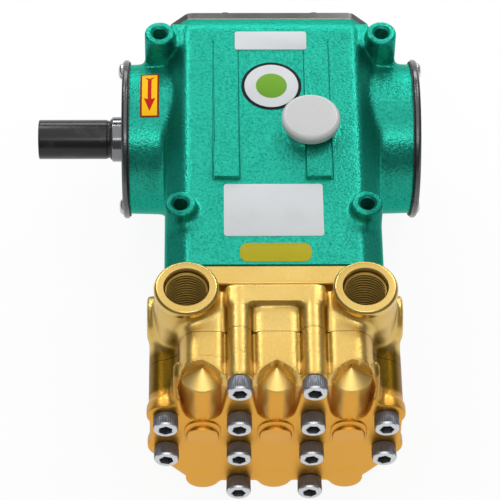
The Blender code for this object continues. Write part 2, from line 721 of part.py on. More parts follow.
def build_plungers(guide_look, ceramic_look, carrier):
    """Hollow crossheads with their stems, and the ceramic plungers on them."""
    for number, (x, phase) in enumerate(zip(CYLINDERS, CRANK_PHASES), start=1):
        shift = throw(phase)[0]
        outside = CROSSHEAD_DIAMETER / 2
        spigot_end = PLUNGER_REAR + SPIGOT_LENGTH
        crosshead = turned("Y", (
            (shift - CROWN_INSIDE, outside - CROSSHEAD_WALL),
            (shift - CROSSHEAD_SKIRT, outside - CROSSHEAD_WALL),
            (shift - CROSSHEAD_SKIRT, outside),
            (shift - CROWN_OUTSIDE, outside),
            (shift - CROWN_OUTSIDE, STEM_DIAMETER / 2),
            (shift - PLUNGER_REAR, STEM_DIAMETER / 2),
            (shift - PLUNGER_REAR, SPIGOT_DIAMETER / 2),
            (shift - spigot_end, SPIGOT_DIAMETER / 2),
        ), (x, 0))
        finish(crosshead, "crosshead_%d" % number, guide_look, carrier, (x, shift - PLUNGER_REAR, 0))

        rear = PLUNGER_REAR + CLEARANCE
        front = PLUNGER_REAR + PLUNGER_LENGTH
        plunger = turned("Y", (
            (shift - rear, PLUNGER_DIAMETER / 2),
            (PLUNGER_NOSE + shift - front, PLUNGER_DIAMETER / 2),
            (shift - front, PLUNGER_DIAMETER / 2 - PLUNGER_NOSE),
        ), (x, 0))
        socket = rod(
            "Y", shift - spigot_end - CLEARANCE, shift - rear + OVERLAP, (x, 0),
            SPIGOT_DIAMETER / 2 + CLEARANCE
        )
        finish(cut(plunger, socket), "plunger_%d" % number, ceramic_look, carrier, (x, shift - rear, 0))


def build_seals(oil_look, packing_look, carrier):
    """Oil seals on the crosshead stems and packings on the plungers."""
    for number, x in enumerate(CYLINDERS, start=1):
        oil_seal = turned("Y", (
            (-OIL_SEAL_FRONT, STEM_DIAMETER / 2 + CLEARANCE),
            (-OIL_SEAL_FRONT, OIL_SEAL_DIAMETER / 2),
            (OIL_SEAL_WIDTH - OIL_SEAL_FRONT, OIL_SEAL_DIAMETER / 2),
            (OIL_SEAL_WIDTH - OIL_SEAL_FRONT, STEM_DIAMETER / 2 + CLEARANCE),
        ), (x, 0), hollow=True)
        finish(oil_seal, "oil_seal_%d" % number, oil_look, carrier)
        packing = turned("Y", (
            (-PACKING_REAR, PLUNGER_DIAMETER / 2 + CLEARANCE),
            (-PACKING_REAR, PACKING_DIAMETER / 2),
            (-PACKING_REAR - PACKING_LENGTH, PACKING_DIAMETER / 2),
            (-PACKING_REAR - PACKING_LENGTH, PLUNGER_DIAMETER / 2 + CLEARANCE),
        ), (x, 0), hollow=True)
        finish(packing, "packing_%d" % number, packing_look, carrier)


def lower_outline():
    """Right half of the head's lower edge, shared by manifold and valve head."""
    return [
        (HEAD_SIDE_HALF, -HEAD_SIDE_HEIGHT),
        (HEAD_LOWER_HALF, -HEAD_LOWER_SHOULDER),
        (HEAD_BOTTOM_HALF, -HEAD_BOTTOM),
    ]


def bolt_ridges(start, end):
    """Round ridges that carry the bolts, along Y."""
    ridges = []
    for x, z in SHORT_BOLTS:
        inner = abs(x) < PLUNGER_PITCH
        width = RIDGE_DIAMETER if inner else SIDE_RIDGE_DIAMETER
        ridges.append(rod("Y", -start, -end, (x, z), width / 2))
    return ridges


def humps(start, end):
    """Rounded humps over the cylinders, along Y."""
    return [rod("Y", -start, -end, (x, HUMP_HEIGHT), HUMP_DIAMETER / 2, MIDDLE_SIDES) for x in CYLINDERS]


def ridge_webs(start, end):
    """Upright webs that carry the upper ridges."""
    webs = []
    for side in (-1, 1):
        middle = side * BOLT_COLUMN_INNER
        webs.append(box(
            (middle - RIDGE_DIAMETER / 2, -end, NOTCH_FLOOR),
            (middle + RIDGE_DIAMETER / 2, -start, BOLT_ROW_OUTER),
        ))
    return webs


def manifold_shell():
    """Outside of the brass manifold."""
    rear = CASE_FRONT + CLEARANCE
    upper = [(HEAD_SHOULDER_HALF, HEAD_SHOULDER_TOP), (HEAD_SIDE_HALF, HEAD_SIDE_HEIGHT)]
    body = plate(mirrored(upper + lower_outline()), OVERLAP - RIDGE_REAR + FLANGE_THICKNESS, -HEAD_JOINT)
    corner = FLANGE_HALF - CASE_TOP_HALF
    flange = plate(mirrored((
        (CASE_TOP_HALF, FLANGE_TOP),
        (FLANGE_HALF, FLANGE_TOP - corner),
        (FLANGE_HALF, corner - FLANGE_BOTTOM),
        (CASE_TOP_HALF, -FLANGE_BOTTOM),
    )), -rear, -rear - FLANGE_THICKNESS)
    body = joined(body, flange)
    body = joined(body, *humps(RIDGE_REAR - OVERLAP, HEAD_JOINT))
    body = joined(body, *bolt_ridges(RIDGE_REAR, HEAD_JOINT))
    body = joined(body, *ridge_webs(RIDGE_REAR, HEAD_JOINT))
    reach = BOLT_COLUMN_INNER + RIDGE_DIAMETER / 2 - OVERLAP
    bridge = plate(mirrored((
        (reach - BRIDGE_CORNER, BRIDGE_TOP),
        (reach, BRIDGE_TOP - BRIDGE_CORNER),
        (reach, 0),
    )), OVERLAP - RIDGE_REAR, -RIDGE_REAR - BRIDGE_THICKNESS)
    body = joined(body, bridge)
    for side in (-1, 1):
        port = turned("Z", (
            (0, PORT_DIAMETER / 2),
            (PORT_TOP - PORT_EDGE, PORT_DIAMETER / 2),
            (PORT_TOP, PORT_DIAMETER / 2 - PORT_EDGE),
        ), (side * PORT_X, -PORT_Y), FINE_SIDES)
        side_boss = rod(
            "X", side * PORT_X, side * SIDE_BOSS_END, (-SIDE_BOSS_Y, SIDE_BOSS_HEIGHT),
            SIDE_BOSS_DIAMETER / 2,
            MIDDLE_SIDES,
        )
        inlet = rod(
            "X", side * PORT_X, side * INLET_END, (-GALLERY_Y, -VALVE_HEIGHT), INLET_DIAMETER / 2,
            MIDDLE_SIDES,
        )
        body = joined(body, port, side_boss, inlet)
    return body


def build_manifold(look, carrier):
    """Brass manifold: packing bores, galleries, two top ports, two side inlets."""
    body = manifold_shell()
    for x in CYLINDERS:
        packing_seat = rod(
            "Y", -PACKING_REAR - PACKING_LENGTH - CLEARANCE, OVERLAP - CASE_FRONT, (x, 0),
            PACKING_DIAMETER / 2 + CLEARANCE, MIDDLE_SIDES,
        )
        bore = rod("Y", -HEAD_JOINT - OVERLAP, -PACKING_REAR, (x, 0), PLUNGER_DIAMETER / 2 + 2 * CLEARANCE)
        pocket = rod(
            "Y", -HEAD_JOINT - OVERLAP, VALVE_POCKET_DEPTH - HEAD_JOINT, (x, VALVE_HEIGHT),
            VALVE_POCKET_DIAMETER / 2,
        )
        inlet_hole = rod("Y", -HEAD_JOINT - OVERLAP, -GALLERY_Y, (x, -VALVE_HEIGHT), VALVE_HOLE_DIAMETER / 2)
        body = cut(body, packing_seat, bore, pocket, inlet_hole)
    for height in (VALVE_HEIGHT, -VALVE_HEIGHT):
        gallery = rod("X", -GALLERY_HALF, GALLERY_HALF, (-GALLERY_Y, height), GALLERY_DIAMETER / 2)
        body = cut(body, gallery)
    for side in (-1, 1):
        port_bore = rod(
            "Z", PORT_FLOOR, PORT_TOP + OVERLAP, (side * PORT_X, -PORT_Y), PORT_BORE / 2, FINE_SIDES
        )
        inlet_bore = rod(
            "X", side * (INLET_END - INLET_DEPTH), side * (INLET_END + OVERLAP), (-GALLERY_Y, -VALVE_HEIGHT),
            INLET_BORE / 2, MIDDLE_SIDES,
        )
        body = cut(body, port_bore, inlet_bore)
    for x, z in SHORT_BOLTS:
        body = cut(body, bolt_hole(x, z, SHORT_BOLT_LENGTH + CLEARANCE))
    for x, z in LONG_BOLTS:
        body = cut(body, bolt_hole(x, z, LONG_BOLT_LENGTH))
    return finish(body, "manifold", look, carrier)


def bolt_hole(x, z, length):
    """Clearance hole for a head bolt, counted from the seat under its head."""
    return rod("Y", -HEAD_FRONT - OVERLAP, length - HEAD_FRONT, (x, z), BOLT_DIAMETER / 2 + CLEARANCE)


def head_outline():
    """Front outline of the valve head, notched round its three columns."""
    ridge = RIDGE_DIAMETER / 2
    inner = BOLT_COLUMN_INNER
    right = [
        (NOTCH_FLOOR_HALF, NOTCH_FLOOR),
        (inner - ridge, HEAD_SHOULDER_TOP),
        (inner - ridge, BOLT_ROW_OUTER),
        (inner + ridge, BOLT_ROW_OUTER),
        (inner + ridge, HEAD_SHOULDER_TOP),
        (PLUNGER_PITCH - NOTCH_FLOOR_HALF, NOTCH_FLOOR),
        (PLUNGER_PITCH + NOTCH_FLOOR_HALF, NOTCH_FLOOR),
        (HEAD_SHOULDER_HALF, HEAD_SHOULDER_TOP),
        (HEAD_SIDE_HALF, HEAD_SIDE_HEIGHT),
    ]
    return mirrored(right + lower_outline())


def valve_head_shell():
    """Outside of the brass valve head."""
    rear = HEAD_JOINT + CLEARANCE
    body = plate(head_outline(), -rear, -HEAD_FRONT)
    body = joined(body, *bolt_ridges(rear, HEAD_FRONT))
    body = joined(body, *humps(rear, HUMP_FRONT))
    lobe_drop = CRANK_HEIGHT - LOBE_DIAMETER / 2
    for x in CYLINDERS:
        column = turned("Z", (
            (0, COLUMN_DIAMETER / 2),
            (COLUMN_TOP, COLUMN_DIAMETER / 2),
            (COLUMN_TOP + COLUMN_POINT, COLUMN_DIAMETER / 24),
        ), (x, -COLUMN_Y))
        lobe = rod("Y", -rear, -HEAD_FRONT - LOBE_PROUD, (x, -lobe_drop), LOBE_DIAMETER / 2)
        body = joined(body, column, lobe, arch_pad(x))
    return body


def arch_pad(x):
    """Arched pad under a column, proud at its top and fading into the face at its foot."""
    radius = LOBE_DIAMETER / 2
    rise = ARCH_HEIGHT + radius + ARCH_FOOT
    outline = [(x - radius, -ARCH_FOOT), (x + radius, -ARCH_FOOT)]
    for step in range(COARSE_SIDES + 1):
        angle = math.pi * step / COARSE_SIDES
        outline.append((x + radius * math.cos(angle), ARCH_HEIGHT + radius * math.sin(angle)))
    rear = [(px, -COLUMN_Y, pz) for px, pz in outline]
    front = [(px, -HEAD_FRONT - ARCH_PROUD * (pz + ARCH_FOOT) / rise, pz) for px, pz in outline]
    return loft((rear, front))


def build_valve_head(look, carrier):
    """Brass valve head: bolt holes, plunger ends, valve chambers joined by upright passages."""
    body = valve_head_shell()
    rear = OVERLAP - HEAD_JOINT
    for x in CYLINDERS:
        bore = rod("Y", -COLUMN_Y, rear, (x, 0), PLUNGER_DIAMETER / 2 + 2 * CLEARANCE)
        outlet = rod("Y", -COLUMN_Y, rear, (x, VALVE_HEIGHT), VALVE_HOLE_DIAMETER / 2)
        pocket = rod(
            "Y", -HEAD_JOINT - CLEARANCE - VALVE_POCKET_DEPTH, rear, (x, -VALVE_HEIGHT),
            VALVE_POCKET_DIAMETER / 2,
        )
        passage = rod("Z", -PASSAGE_BOTTOM, PASSAGE_TOP, (x, -COLUMN_Y), PASSAGE_DIAMETER / 2)
        body = cut(body, bore, outlet, pocket, passage)
    for x, z in SHORT_BOLTS + LONG_BOLTS:
        body = cut(body, bolt_hole(x, z, LONG_BOLT_LENGTH))
    return finish(body, "valve_head", look, carrier)


def build_bolts(look, carrier):
    """Twelve head bolts; the four innermost reach into the crankcase."""
    lengths = [SHORT_BOLT_LENGTH] * len(SHORT_BOLTS) + [LONG_BOLT_LENGTH] * len(LONG_BOLTS)
    for number, ((x, z), length) in enumerate(zip(SHORT_BOLTS + LONG_BOLTS, lengths), start=1):
        seat = -HEAD_FRONT - CLEARANCE
        bolt = turned("Y", (
            (seat - BOLT_HEAD_HEIGHT, BOLT_HEAD_DIAMETER / 2),
            (seat, BOLT_HEAD_DIAMETER / 2),
            (seat, BOLT_DIAMETER / 2),
            (seat + length, BOLT_DIAMETER / 2),
        ), (x, z), COARSE_SIDES)
        finish(bolt, "head_bolt_%02d" % number, look, carrier, (x, seat, z))


def helix(start, end, across, diameter, wire, turns):
    """A coil spring along Y."""
    bm = bmesh.new()
    steps = turns * 8
    sides = 5
    rings = []
    for step in range(steps + 1):
        angle = 2 * math.pi * turns * step / steps
        out = Vector((math.cos(angle), 0, math.sin(angle)))
        travel = end - start - wire
        y = start + wire / 2 + travel * step / steps
        centre = Vector((across[0], y, across[1])) + out * (diameter - wire) / 2
        ring = []
        for side in range(sides):
            turn = 2 * math.pi * side / sides
            offset = out * math.cos(turn) + Vector((0, 1, 0)) * math.sin(turn)
            ring.append(bm.verts.new(centre + offset * wire / 2))
        rings.append(ring)
    bm.faces.new(rings[0])
    bm.faces.new(rings[-1])
    for ring, following in zip(rings, rings[1:]):
        for side in range(sides):
            after = (side + 1) % sides
            bm.faces.new((ring[side], ring[after], following[after], following[side]))
    return to_object(bm)


def build_valves(valve_look, spring_look, carrier):
    """Inlet valves that open forward and discharge valves that open backward, each with its spring."""
    kinds = (
        ("inlet", -HEAD_JOINT - CLEARANCE, -1, -VALVE_HEIGHT),
        ("discharge", -HEAD_JOINT, 1, VALVE_HEIGHT),
    )
    for kind, seat, way, height in kinds:
        back = seat + way * VALVE_THICKNESS
        pocket_end = seat + way * VALVE_POCKET_DEPTH
        spring_start = back + way * CLEARANCE
        spring_end = pocket_end - way * CLEARANCE
        for number, x in enumerate(CYLINDERS, start=1):
            valve = turned("Y", (
                (seat, VALVE_DIAMETER / 2),
                (back, VALVE_DIAMETER / 2),
                (back, VALVE_STEM_DIAMETER / 2),
                (back + way * VALVE_STEM_LENGTH, VALVE_STEM_DIAMETER / 2),
            ), (x, height), COARSE_SIDES)
            finish(valve, "%s_valve_%d" % (kind, number), valve_look, carrier, (x, seat, height))
            spring = helix(
                min(spring_start, spring_end), max(spring_start, spring_end), (x, height),
                SPRING_DIAMETER, SPRING_WIRE, SPRING_TURNS,
            )
            finish(spring, "%s_spring_%d" % (kind, number), spring_look, carrier, (x, seat, height))


def build_oil_cap(look, carrier):
    """Oil filler cap with a rounded rim and a stem in the filler hole."""
    rim = CAP_DIAMETER / 2
    top = FILLER_HEAD + CAP_THICKNESS
    cap = turned("Z", (
        (FILLER_HEAD - CAP_STEM_LENGTH, FILLER_HOLE_DIAMETER / 2 - CLEARANCE),
        (FILLER_HEAD, FILLER_HOLE_DIAMETER / 2 - CLEARANCE),
        (FILLER_HEAD, rim - CAP_EDGE / 2),
        (FILLER_HEAD + CAP_EDGE / 2, rim),
        (top - CAP_EDGE, rim),
        (top - CAP_EDGE / 3, rim - CAP_EDGE / 3),
        (top, rim - CAP_EDGE),
    ), (FILLER_X, -FILLER_Y), FINE_SIDES)
    finish(cap, "oil_cap", look, carrier, (FILLER_X, -FILLER_Y, FILLER_HEAD))


def main():
    clear_scene()
    carrier = bpy.data.objects.new("pump", None)
    bpy.context.scene.collection.objects.link(carrier)
    carrier.location = (0, 0, CRANK_HEIGHT)
    crank = bpy.data.objects.new("crank_axis", None)
    bpy.context.scene.collection.objects.link(crank)
    crank.parent = carrier

    paint = material("teal_paint", (0.0, 0.16, 0.17), 0.35, 0.0)
    brass = material("cast_brass", (0.62, 0.38, 0.10), 0.38, 1.0)
    bright_steel = material("bright_steel", (0.62, 0.63, 0.65), 0.22, 1.0)
    black_steel = material("black_steel", (0.03, 0.03, 0.035), 0.4, 1.0)
    zinc = material("zinc_plate", (0.55, 0.56, 0.58), 0.3, 1.0)
    grey_plate = material("grey_plate", (0.35, 0.36, 0.37), 0.45, 0.8)
    paper = material("gasket_paper", (0.55, 0.47, 0.38), 0.9, 0.0)
    rubber = material("black_rubber", (0.02, 0.02, 0.02), 0.7, 0.0)
    white_plastic = material("white_plastic", (0.8, 0.8, 0.78), 0.4, 0.0)
    ceramic = material("white_ceramic", (0.85, 0.84, 0.8), 0.2, 0.0)
    glass = material("level_glass", (0.7, 0.75, 0.6), 0.1, 0.0)
    cast_rod = material("rod_alloy", (0.5, 0.5, 0.5), 0.5, 0.9)
    packing = material("packing_fabric", (0.25, 0.16, 0.1), 0.85, 0.0)

    build_crankcase(paint, carrier)
    build_rear_cover(grey_plate, paper, glass, black_steel, carrier)
    build_bearings(bright_steel, carrier, crank)
    build_bearing_covers(zinc, rubber, carrier)
    build_crankshaft(black_steel, crank)
    build_rods(cast_rod, bright_steel, crank)
    build_plungers(bright_steel, ceramic, carrier)
    build_seals(rubber, packing, carrier)
    build_manifold(brass, carrier)
    build_valve_head(brass, carrier)
    build_bolts(zinc, carrier)
    build_valves(bright_steel, bright_steel, carrier)
    build_oil_cap(white_plastic, carrier)


main()
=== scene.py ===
import math

import bmesh
import bpy
import numpy as np
from mathutils import Matrix, Vector


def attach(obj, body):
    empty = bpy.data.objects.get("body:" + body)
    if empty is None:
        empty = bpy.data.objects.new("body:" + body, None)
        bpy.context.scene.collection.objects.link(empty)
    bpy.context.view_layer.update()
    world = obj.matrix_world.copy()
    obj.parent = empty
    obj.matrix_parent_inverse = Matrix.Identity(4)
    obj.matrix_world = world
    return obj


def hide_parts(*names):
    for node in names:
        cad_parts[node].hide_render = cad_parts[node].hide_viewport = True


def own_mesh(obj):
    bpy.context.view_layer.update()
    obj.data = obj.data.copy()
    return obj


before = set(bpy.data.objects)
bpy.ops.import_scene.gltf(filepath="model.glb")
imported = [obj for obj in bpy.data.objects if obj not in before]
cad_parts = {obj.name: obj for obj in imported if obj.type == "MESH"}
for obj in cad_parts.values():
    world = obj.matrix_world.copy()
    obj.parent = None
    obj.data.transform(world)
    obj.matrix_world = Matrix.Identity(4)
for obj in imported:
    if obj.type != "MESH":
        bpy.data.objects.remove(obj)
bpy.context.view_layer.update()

# Crankcase: one aluminium sand casting with a flat sole, a bearing housing on each side and four
# tapped bosses, sprayed all over with hammered enamel. Lengths in this file are in mm, and heights
# are counted from the crank axis, which lies 60 mm above the sole.
TO_FRAME = Matrix.Translation((0, 0, 0.060)) @ Matrix.Scale(0.001, 4)
AXES = {
    "X": Matrix.Rotation(math.pi / 2, 4, "Y"),
    "Y": Matrix.Rotation(-math.pi / 2, 4, "X"),
    "Z": Matrix.Identity(4),
}
CYLINDERS = (-41.2, 0.0, 41.2)
SIDES = (-1, 1)
CASE_FRONT = -134.0
HOUSING_LINE = ((52.0, 46.4), (88.0, 45.4))
POST_PLACES = ((66.7, 34.0), (53.6, -95.0))
CAP_PLACE = (22.5, -35.0)
RIB_MIDDLE, RIB_HALF, RIB_REAR, RIB_FRONT = 27.0, 7.2, 31.0, -72.0
INNER_BOLT_PLACES = [(x, z) for x in (-20.6, 20.6) for z in (-15.7, 15.7)]


def spread(axis, at):
    """Where a shape drawn about Z goes when it is laid on an axis through a point."""
    centre = list(at)
    centre.insert("XYZ".index(axis), 0.0)
    return Matrix.Translation(centre) @ AXES[axis]


def circle(radius, sides, start=0.0):
    """Points round a circle."""
    angles = [2 * math.pi * (step + start) / sides for step in range(sides)]
    return [(radius * math.cos(angle), radius * math.sin(angle)) for angle in angles]


def turned(shape, axis, profile, at=(0.0, 0.0), sides=64):
    """Adds a lathe-turned body: (along, radius) pairs spun about an axis."""
    place = spread(axis, at)
    rings = []
    for along, radius in profile:
        rings.append([shape.verts.new(place @ Vector((x, y, along))) for x, y in circle(radius, sides, 0.5)])
    return skinned(shape, rings)


def skinned(shape, rings, hoop=False):
    """Joins rings of points into a body with closed ends, or into a hoop."""
    if hoop:
        rings = rings + rings[:1]
    else:
        shape.faces.new(rings[0])
        shape.faces.new(rings[-1])
    for ring, following in zip(rings, rings[1:]):
        for step in range(len(ring)):
            after = (step + 1) % len(ring)
            shape.faces.new((ring[step], ring[after], following[after], following[step]))
    return shape


def lofted(shape, sections):
    """Adds a body through outlines of equal length."""
    return skinned(shape, [[shape.verts.new(point) for point in section] for section in sections])


def pushed(shape, outline, start, end):
    """Adds an X, Z outline pushed along Y."""
    return lofted(shape, [[(x, y, z) for x, z in outline] for y in (start, end)])


def spun(*line, **settings):
    """A turned body on its own."""
    return turned(bmesh.new(), *line, **settings)


def block(shape, corner, opposite):
    """Adds a box between two opposite corners."""
    low, high = [[pick(pair) for pair in zip(corner, opposite)] for pick in (min, max)]
    outline = ((low[0], low[2]), (high[0], low[2]), (high[0], high[2]), (low[0], high[2]))
    return pushed(shape, outline, low[1], high[1])


def softened(points, radius, closed=False, steps=4):
    """A drawn line with its corners rounded."""
    count = len(points)
    drawn = []
    for number, corner in enumerate(points):
        if not closed and number in (0, count - 1):
            drawn.append(tuple(corner))
            continue
        corner = Vector(corner)
        before = Vector(points[number - 1]) - corner
        after = Vector(points[(number + 1) % count]) - corner
        before = corner + before * min(0.45, radius / max(before.length, 1e-6))
        after = corner + after * min(0.45, radius / max(after.length, 1e-6))
        for step in range(steps + 1):
            share = step / steps
            bend = before * (1 - share) ** 2 + corner * 2 * share * (1 - share) + after * share ** 2
            drawn.append(tuple(bend))
    return drawn


def mirrored(points):
    """An outline's right half, top to bottom, with its mirror image."""
    return list(points) + [(-x, z) for x, z in reversed(points)]


def piece_from(shape, name):
    """Closes a drawn shape into an object with its faces outward."""
    bmesh.ops.recalc_face_normals(shape, faces=shape.faces)
    mesh = bpy.data.meshes.new(name)
    shape.to_mesh(mesh)
    shape.free()
    piece = bpy.data.objects.new(name, mesh)
    bpy.context.scene.collection.objects.link(piece)
    return piece


def worked(piece, kind, **settings):
    """Puts a piece through one modifier for good."""
    step = piece.modifiers.new(kind, kind)
    for name, value in settings.items():
        setattr(step, name, value)
    graph = bpy.context.evaluated_depsgraph_get()
    mesh = bpy.data.meshes.new_from_object(piece.evaluated_get(graph))
    piece.modifiers.clear()
    piece.data = mesh
    return piece


def machined(piece, *tools, operation="DIFFERENCE"):
    """Cuts drawn shapes out of a piece, or joins or keeps them as the operation says."""
    for tool in tools:
        tool = piece_from(tool, "tool")
        worked(piece, "BOOLEAN", object=tool, operation=operation, solver="MANIFOLD")
        bpy.data.objects.remove(tool)
    return piece


def welded(piece, *tools):
    """Joins drawn shapes to a piece."""
    return machined(piece, *tools, operation="UNION")


def cast(shape, name, grain, fill, wear, faces):
    """Melts overlapping shapes into one skin; its inside corners fill up and its outside ones wear round."""
    piece = worked(piece_from(shape, name), "REMESH", mode="VOXEL", voxel_size=grain)
    mesh = piece.data
    count = len(mesh.vertices)
    spots = np.empty(3 * count)
    mesh.vertices.foreach_get("co", spots)
    spots = spots.reshape(-1, 3)
    ends = np.empty(2 * len(mesh.edges), dtype=np.int32)
    mesh.edges.foreach_get("vertices", ends)
    first, second = ends.reshape(-1, 2).T
    near = np.bincount(ends, minlength=count)[:, None]
    outward = np.empty(3 * count)
    for step in range(fill):
        if step % 5 == 0:
            mesh.vertices.foreach_set("co", spots.ravel())
            mesh.update()
            mesh.vertex_normals.foreach_get("vector", outward)
        total = [
            np.bincount(first, spots[second, way], count) + np.bincount(second, spots[first, way], count)
            for way in range(3)
        ]
        pull = np.stack(total, axis=1) / near - spots
        rises = (pull * outward.reshape(-1, 3)).sum(axis=1) > 0
        spots += pull * np.where(rises, 0.5, wear)[:, None]
    mesh.vertices.foreach_set("co", spots.ravel())
    mesh.update()
    triangles = sum(len(face.vertices) - 2 for face in mesh.polygons)
    return worked(piece, "DECIMATE", ratio=min(1.0, faces / triangles))


def fit(piece, finish, body, slot, *nodes):
    """Brings a drawn piece into the frame with its finish, on its body, for the nodes it stands for."""
    piece.data.transform(TO_FRAME)
    piece.data.shade_smooth()
    piece.data.set_sharp_from_angle(angle=math.radians(38))
    piece.data.materials.clear()
    piece.data.materials.append(finish)
    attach(piece, body)
    if nodes:
        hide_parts(*nodes)
    return piece


class Shade:
    """A value in a finish's node tree; arithmetic on it adds the nodes that work it out."""

    def __init__(self, tree, socket=None):
        self.tree = tree
        self.socket = socket

    def node(self, kind, settings, sockets, output=0):
        made = self.tree.nodes.new("ShaderNode" + kind)
        for name, value in settings.items():
            setattr(made, name, value)
        for name, value in sockets.items():
            if isinstance(value, Shade):
                self.tree.links.new(value.socket, made.inputs[name])
            else:
                made.inputs[name].default_value = value
        return Shade(self.tree, made.outputs[output])

    def math(self, operation, other):
        return self.node("Math", {"operation": operation}, {0: self, 1: other})

    def __add__(self, other):
        return self.math("ADD", other)

    def __sub__(self, other):
        return self.math("SUBTRACT", other)

    def __rsub__(self, other):
        return self * -1.0 + other

    def __mul__(self, other):
        return self.math("MULTIPLY", other)

    __radd__ = __add__

    def between(self, low, high):
        """0 below low, 1 above high, smooth between; the two may be swapped."""
        limits = {"Value": self, "From Min": low, "From Max": high}
        return self.node("MapRange", {"interpolation_type": "SMOOTHSTEP"}, limits)

    def tint(self, dark, light):
        """A colour that goes from dark to light as this value goes from 0 to 1."""
        dark, light = [tone if isinstance(tone, Shade) else (*tone, 1.0) for tone in (dark, light)]
        return self.node("Mix", {"data_type": "RGBA"}, {0: self, 6: dark, 7: light}, 2)

    def place(self):
        return self.node("TexCoord", {}, {}, "Object")

    def grain(self, scale, detail=2.0, stretch=(1.0, 1.0, 1.0)):
        """Soft noise with about scale blotches to the metre."""
        spot = self.node("Mapping", {}, {"Vector": self.place(), "Scale": stretch})
        return self.node("TexNoise", {}, {"Vector": spot, "Scale": scale, "Detail": detail})

    def along(self, axis):
        """The place along X, Y or Z, in metres."""
        return self.node("SeparateXYZ", {}, {"Vector": self.place()}, axis)


def new_finish(name):
    """An empty finish and the tree to draw it in."""
    finish = bpy.data.materials.new(name)
    finish.use_nodes = True
    return finish, Shade(finish.node_tree)


def coated(finish, height=None, depth=0.0, **sockets):
    """Feeds a finish's shader; height is a relief of the given depth in metres."""
    shader = finish.node_tree.nodes["Principled BSDF"]
    if height is not None:
        relief = {"Height": height, "Distance": depth, "Strength": 1.0}
        sockets["Normal"] = height.node("Bump", {}, relief)
    for name, value in sockets.items():
        socket = shader.inputs[name.replace("_", " ")]
        if isinstance(value, Shade):
            finish.node_tree.links.new(value.socket, socket)
        else:
            socket.default_value = value
    return finish


def hammered_enamel():
    finish, shade = new_finish("hammered_enamel")
    pools = shade.grain(620.0, 2.0)
    fine = shade.grain(1300.0, 2.0)
    speck = fine.between(0.43, 0.35) * pools.between(0.60, 0.40)
    cloud = shade.grain(30.0, 3.0)
    dimple = pools.between(0.34, 0.66) * 0.7 + cloud.between(0.3, 0.7) * 0.3
    colour = dimple.tint((0.016, 0.325, 0.230), (0.026, 0.425, 0.312))
    colour = (speck * 0.9).tint(colour, (0.003, 0.105, 0.074))
    aside = shade.along("X").math("ABSOLUTE", 0.0)
    height = shade.along("Z")
    # The sloping shoulders lie in the shade of the housings and posts, and look darker.
    shoulder = aside.between(0.0512, 0.0540) * aside.between(0.0632, 0.0606) * height.between(0.092, 0.100)
    shoulder = shoulder * shade.along("Y").between(0.0305, 0.0290)
    colour = (shoulder * 0.5).tint(colour, (0.001, 0.060, 0.044))
    # The turned housings are smoother than the rest of the casting.
    housing = aside.between(0.0635, 0.0665) * height.between(0.1030, 0.0985)
    return coated(
        finish, (pools + fine * 0.4) * (1 - housing * 0.45), 0.00035, Base_Color=colour, Metallic=0.75,
        Roughness=0.28 - housing * 0.10 + pools * 0.16,
        Specular_IOR_Level=0.12, Specular_Tint=(0.10, 0.80, 0.65, 1.0),
    )


def case_top(y):
    """Height of the crankcase's sloping top."""
    return 56.0 - 4.5 * (41.5 - y) / 175.5


def case_outline(y, top):
    """Cross-section of the crankcase at y."""
    right = ((51.0, top), (63.0, top - 14.0), (63.0, -46.0), (51.0, -60.0))
    return [(x, y, z) for x, z in softened(mirrored(right), 3.0, closed=True)]


enamel = hammered_enamel()
rear_edge = ((56.0, 49.1), (53.0, 50.6), (46.2, 54.1), (43.75, 55.1), (41.16, 55.7), (38.5, case_top(38.5)))
skin = lofted(bmesh.new(), [case_outline(y, top) for y, top in rear_edge + ((-137.0, case_top(-137.0)),)])
for side in SIDES:
    turned(skin, "X", [(side * x, radius) for x, radius in HOUSING_LINE], sides=96)
    for x, y in POST_PLACES:
        turned(skin, "Z", ((-60.0, 9.8), (30.0, 9.3), (60.0, 9.0)), (side * x, y), 40)
    block(skin, (side * 52.0, 29.5, -14.0), (side * 66.7, 38.5, 53.2))
    block(skin, (side * 48.0, 29.5, 30.0), (side * 60.0, 47.0, 53.2))
turned(skin, "Z", ((0.0, 14.2), (57.8, 13.5)), CAP_PLACE)
case = cast(skin, "crankcase_casting", 0.9, 36, 0.07, 90000)
for x in (-RIB_MIDDLE, RIB_MIDDLE):
    rib = []
    for widen, z in ((0.9, 40.0), (0.9, case_top(RIB_FRONT) - 0.2), (0.0, case_top(RIB_REAR))):
        low, high, front = x - RIB_HALF - widen, x + RIB_HALF + widen, RIB_FRONT - widen
        rib.append(((low, RIB_REAR, z), (high, RIB_REAR, z), (high, front, z), (low, front, z)))
    welded(case, lofted(bmesh.new(), rib))
for x, wide in ((-34.5, 1.0), (-19.5, 0.55), (19.5, 0.55), (34.5, 1.0)):
    line = []
    for y, half in ((RIB_REAR, 0.35), (RIB_FRONT - 0.6, wide)):
        drawn = ((-half, 2.0), (half, 2.0), (half * 0.7, -1.0), (-half * 0.7, -1.0))
        line.append([(x + px, y, case_top(y) + pz) for px, pz in drawn])
    machined(case, lofted(bmesh.new(), line))
trims = [bmesh.new() for _ in range(2)]
for side in SIDES:
    block(trims[0], (side * 85.0, -60.0, -60.0), (side * 95.0, 60.0, 60.0))
block(trims[1], (-80.0, 53.0, -70.0), (80.0, 70.0, 70.0))
block(trims[1], (-80.0, -150.0, -70.0), (80.0, CASE_FRONT, 70.0))
block(trims[0], (-52.5, CASE_FRONT - 1.0, 49.0), (52.5, CASE_FRONT + 1.5, 62.0))
block(trims[1], (-52.0, -46.0, -49.0), (52.0, 41.5, 46.0))
holes = [bmesh.new() for _ in range(2)]
block(holes[0], (-40.0, 40.0, -42.0), (40.0, 54.0, 37.5))
